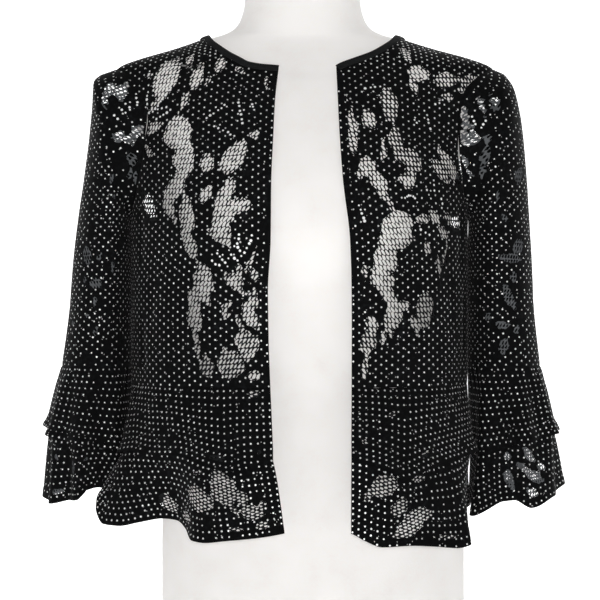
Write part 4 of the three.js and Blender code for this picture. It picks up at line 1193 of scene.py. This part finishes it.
frontCreases = {
    "right": [
        (74, 92, 81, 68, 1.5, 3.0, -2.6), (150, 300, 118, 240, 6, 9, -1.3), (128, 215, 112, 150, 5, 10, -1.5),
        (160, 190, 150, 110, -4, 7, -1.8), (120, 118, 128, 40, 4, 8, -1.4), (92, 60, 98, 4, -3, 7, -1.2),
        (144, 80, 140, 6, 3, 6, -1.6), (60, 190, 52, 120, 3, 10, -0.8), (20, 330, 26, 270, 2, 6, -0.8)],
    "left": [
        (148, 260, 132, 200, -5, 8, -1.5), (120, 250, 96, 196, -4, 8, -1.2), (138, 190, 130, 100, 5, 8, -1.9),
        (112, 130, 116, 40, -4, 9, -1.3), (146, 110, 142, 14, 4, 6, -1.7), (88, 60, 84, 4, 3, 7, -1.2),
        (60, 240, 48, 170, 3, 10, -0.8), (34, 40, 38, 2, 2, 7, -0.9)]}
backCreases = [
    (-150, 250, -120, 190, 6, 9, -1.5), (150, 255, 122, 190, -6, 9, -1.5), (-140, 170, -128, 70, -5, 8, -1.6),
    (142, 160, 126, 60, 6, 8, -1.7), (-70, 120, -62, 8, 4, 9, -1.4), (12, 100, 4, 6, -3, 8, -1.3),
    (78, 128, 84, 10, -4, 9, -1.5), (-30, 330, 34, 326, 5, 7, -1.1), (-104, 60, -100, 4, 3, 7, -1.2),
    (40, 60, 46, 4, 2, 7, -1.0)]
sleeveCreases = {
    "right": [
        (98, 196, 40, 170, 6, 6, -1.6), (128, 120, 62, 136, -5, 6, -2.0), (40, 118, 104, 98, 6, 6, -1.7),
        (122, 74, 54, 60, -5, 7, -1.5), (-40, 196, -108, 160, 6, 7, -1.8), (-116, 110, -50, 96, -5, 6, -1.7),
        (22, 240, 16, 160, 3, 6, -1.0), (84, 52, 90, 2, 3, 6, -1.4), (-72, 56, -66, 2, -3, 6, -1.4),
        (10, 80, 6, 6, 2, 7, -1.1)],
    "left": [
        (94, 204, 42, 182, -6, 6, -1.5), (124, 130, 66, 146, 5, 6, -1.9), (46, 128, 108, 110, -6, 6, -1.8),
        (118, 84, 60, 68, 5, 7, -1.5), (-46, 188, -102, 156, -6, 7, -1.7), (-110, 104, -56, 88, 5, 6, -1.8),
        (28, 250, 22, 176, -3, 6, -1.0), (90, 56, 96, 2, -3, 6, -1.4), (-78, 60, -72, 2, 3, 6, -1.4),
        (14, 84, 8, 8, -2, 7, -1.1)]}
sideBands = bandsOf(seam, seam, seam, seam)
frontBands = bandsOf(turned, seam, seam, seam)
tierBands = {"front": bandsOf(turned, seam, seam, turned), "back": bandsOf(seam, seam, seam, turned)}
panels = {}


def addPanel(name, node, panel, lace, held, restsOn):
    panels[name] = {"node": node, "panel": panel, "lace": lace, "held": held, "restsOn": restsOn}


for side, chart, lean in (("right", rightFront, -0.55), ("left", leftFront, -0.45)):
    addPanel("front_" + side, "bodice_front_" + side, Panel(*frontSurface(side)),
             laceWith(chart, spacing=1.1, lean=lean, bands=frontBands, creases=frontCreases[side], faint=0.2),
             "hung", ["dress_form"])
backChart = joined(moved(leftFront, 12), moved(rightFront, -6, 6, True), backFar)
addPanel("back", "bodice_back", Panel(backSurface, None, True, columns=381),
         laceWith(backChart, spacing=1.7, bands=sideBands, creases=backCreases), "hung", ["dress_form"])
hiddenShift = -35
fineGrid = {"columns": 481, "rows": 121}
sleeveCharts = {
    "right": (rightSleeve, rightSleeveFar, rightRuffle, moved(rightRuffle, hiddenShift, 0, True), (-205, 10)),
    "left": (leftSleeve, leftSleeveFar, leftRuffle, leftRuffleFar, (198, 10))}
for side, (near, far, ruffle, ruffleFar, hub) in sleeveCharts.items():
    addPanel("sleeve_" + side, "sleeve_" + side, Panel(sleeveSurface(side), hub=hub, columns=381, fall=True),
             laceWith(joined(near, moved(near, hiddenShift, 0, True), far), **sleeveLace, bands=sideBands,
                      creases=sleeveCreases[side]),
             "hung", ["bodice_front_" + side, "bodice_back"])
    for tier, above in (("upper", "sleeve_" + side), ("lower", "sleeve_ruffle_upper_" + side)):
        panel = Panel(ruffleSurface(side, tier), None, True, hub, **fineGrid)
        chart = joined(ruffle, ruffleFar) if tier == "lower" else {}
        folds = gathers(panel.width.max(), 30, 26, 1.0, len(panels))
        addPanel(f"ruffle_{tier}_{side}", f"sleeve_ruffle_{tier}_{side}", panel,
                 laceWith(chart, **ruffleLace, bands=tierBands["back"], creases=folds), "gathered", [above])
tierCharts = {
    "upper": {"front_right": rightUpperTier, "front_left": leftUpperTier,
              "back": joined(moved(leftUpperTier, 30), moved(rightUpperTier, -20, 0, True))},
    "lower": {"front_right": rightLowerTier, "front_left": leftLowerTier,
              "back": joined(moved(leftLowerTier, 20), moved(rightLowerTier, -14, 0, True))}}
for tier in ("upper", "lower"):
    for place in ("front_right", "back", "front_left"):
        kind = "back" if place == "back" else "front"
        above = "bodice_" + place if tier == "upper" else "peplum_upper_" + place
        panel = Panel(peplumSurface(tier, place), None, place == "back", **fineGrid)
        folds = gathers(2 * panel.width.max(), 26, 22, 0.8, 40 + len(panels))
        lace = laceWith(tierCharts[tier][place], **tierLace, spacing=1.4 if kind == "front" else 1.7,
                        bands=tierBands[kind], creases=folds)
        addPanel(f"peplum_{tier}_{place}", f"peplum_{tier}_{place}", panel, lace, "gathered", [above])

total = 0
for number, (name, made) in enumerate(panels.items()):
    panel = made["panel"]
    finishes = [knit, yarns[made["lace"]["yarn"]], foil]
    piece = lacePiece("lace_" + name, panel, made["lace"], finishes, 100 + number)
    settle(piece, [made["node"]])
    count = sum(len(face.vertices) - 2 for face in piece.data.polygons)
    total += count
print("lace triangles in all:", total)


# Neck binding: a narrow rounded tape over the neckline
bindingSize = {"steps": 90, "sideSteps": 60, "spacing": 1.2, "lift": 0.1, "profile": [
    (-0.5, 0.6), (-0.9, 0.1), (-0.7, -0.8), (-0.1, -1.5), (1.5, -1.8), (3.4, -1.8),
    (5.1, -1.6), (6.0, -1.1), (6.1, -0.3), (5.6, 0.1), (3.0, 0.1), (0.8, 0.4)]}


def necklinePoints():
    heights = np.linspace(cornerHeight, neckPointHeight, bindingSize["sideSteps"])
    path = [(angleAtX(smooth(neckline, "right", heights), heights), heights)]
    turn = -math.pi / 2 - math.pi * np.linspace(0, 1, bindingSize["steps"])
    path.append((turn, backHeight(turn, neckPointHeight + 0 * turn)))
    left = angleAtX(smooth(neckline, "left", heights), heights) - 2 * math.pi
    path.append((left[::-1], heights[::-1]))
    return np.concatenate([part[0] for part in path]), np.concatenate([part[1] for part in path])


def buildBinding():
    angle, z = necklinePoints()
    edge = bodyPoint(angle, z)
    steps = np.linalg.norm(np.diff(edge, axis=0), axis=1)
    run = np.concatenate([[0], np.cumsum(steps)])
    even = np.linspace(0, run[-1], int(run[-1] / bindingSize["spacing"]))
    angle, z = np.interp(even, run, angle), np.interp(even, run, z)
    edge = bodyPoint(angle, z)
    into = inwardOf(bodyPoint, angle, z, 0.01, 0.5)
    along = unit(np.gradient(edge, axis=0))
    down = unit(np.cross(along, into))
    down = down * np.where(down[:, 2:] > 0, -1, 1)
    profile = np.array(bindingSize["profile"])[None]
    points = edge[:, None] + down[:, None] * profile[..., :1]
    points = points + into[:, None] * (profile[..., 1:] + bindingSize["lift"])
    count, columns = points.shape[:2]
    first = np.arange(columns)
    ends = np.stack([first[::-1], first + (count - 1) * columns])
    piece = solidPiece("neck_tape", points.reshape(-1, 3), [gridFaces(count, columns, True), ends], [tape])
    settle(piece, ["neck_binding"])


buildBinding()
print("binding made")

# Camera: level, in front, with the frame of the photograph
view = {"lens": 120, "x": -4, "y": -2000, "height": 0.38, "reach": 60}
camera = bpy.data.objects.new("camera", bpy.data.cameras.new("camera"))
camera.data.lens = view["lens"]
camera.data.clip_end = view["reach"]
camera.location = ((shift[0] + view["x"]) / 1000, (shift[1] + view["y"]) / 1000, view["height"])
camera.rotation_euler = (math.pi / 2, 0, 0)
bpy.context.scene.collection.objects.link(camera)
bpy.context.scene.camera = camera


# Pale floor that curves up into the backdrop, in metres
stage = {"half": 9, "bendAt": 1.8, "bend": 1.2, "top": 6, "fade": (-0.3, 0.6), "dim": 0.2, "glow": 0.9}


def buildStage():
    finish = Finish("studio_paper")
    finish.set(Base_Color=finish.mixed(finish.noise(3, 2, finish.place()), grey(0.93), grey(0.96)))
    finish.set(Roughness=0.9, Specular_IOR_Level=0.1)
    depth = finish.node("ShaderNodeSeparateXYZ", {}, {0: finish.place()}, 1)
    span = {0: depth, 1: stage["fade"][0], 2: stage["fade"][1]}
    share = finish.node("ShaderNodeMapRange", {"interpolation_type": "SMOOTHSTEP"}, span)
    glow = finish.mixed(share, grey(stage["dim"]), grey(1.0))
    finish.set(Emission_Color=glow, Emission_Strength=stage["glow"])
    turn = np.linspace(0, math.pi / 2, 16)
    bend, half = stage["bend"], stage["half"]
    y = np.concatenate([[-half], stage["bendAt"] + bend * np.sin(turn), [stage["bendAt"] + bend]])
    z = np.concatenate([[0], bend - bend * np.cos(turn), [stage["top"]]])
    x = np.linspace(-half, half, 9)
    points = spot(x[None, :] + 0 * y[:, None], y[:, None] + 0 * x[None, :], z[:, None] + 0 * x[None, :])
    faces = gridFaces(len(y), len(x))
    solidPiece("studio_sweep", points.reshape(-1, 3) * 1000 - shift, [faces], [finish.material])


buildStage()

# Soft lamps and the light of the room, in metres and watts: place, aim, size and power
lamps = {
    "key": ((0.01, -2.04, 0.42), (0, 0, 0.38), 0.12, 16.4),
    "fill": ((-1.6, -2.2, 1.3), (0, 0, 0.4), 1.6, 1.5),
    "top": ((0, -0.4, 2.6), (0, 0, 0.5), 1.6, 4),
    "back": ((0.9, 1.3, 2.3), (0, 0, 0.4), 1.2, 9)}
roomLight = 0.14


def lamp(name, place, aim, size, power):
    light = bpy.data.lights.new(name, "AREA")
    light.shape = "DISK"
    light.size = size
    light.energy = power
    made = bpy.data.objects.new(name, light)
    made.location = place
    direction = np.array(aim) - np.array(place)
    flatRun = math.hypot(direction[0], direction[1])
    made.rotation_euler = (math.atan2(flatRun, -direction[2]), 0, math.atan2(-direction[0], direction[1]))
    bpy.context.scene.collection.objects.link(made)


for name, settings in lamps.items():
    lamp(name, *settings)
world = bpy.data.worlds.new("studio")
world.use_nodes = True
world.node_tree.nodes["Background"].inputs[0].default_value = (1, 1, 1, 1)
world.node_tree.nodes["Background"].inputs[1].default_value = roomLight
bpy.context.scene.world = world
bpy.context.scene.view_settings.view_transform = "Standard"
print("camera, stage and lamps set")
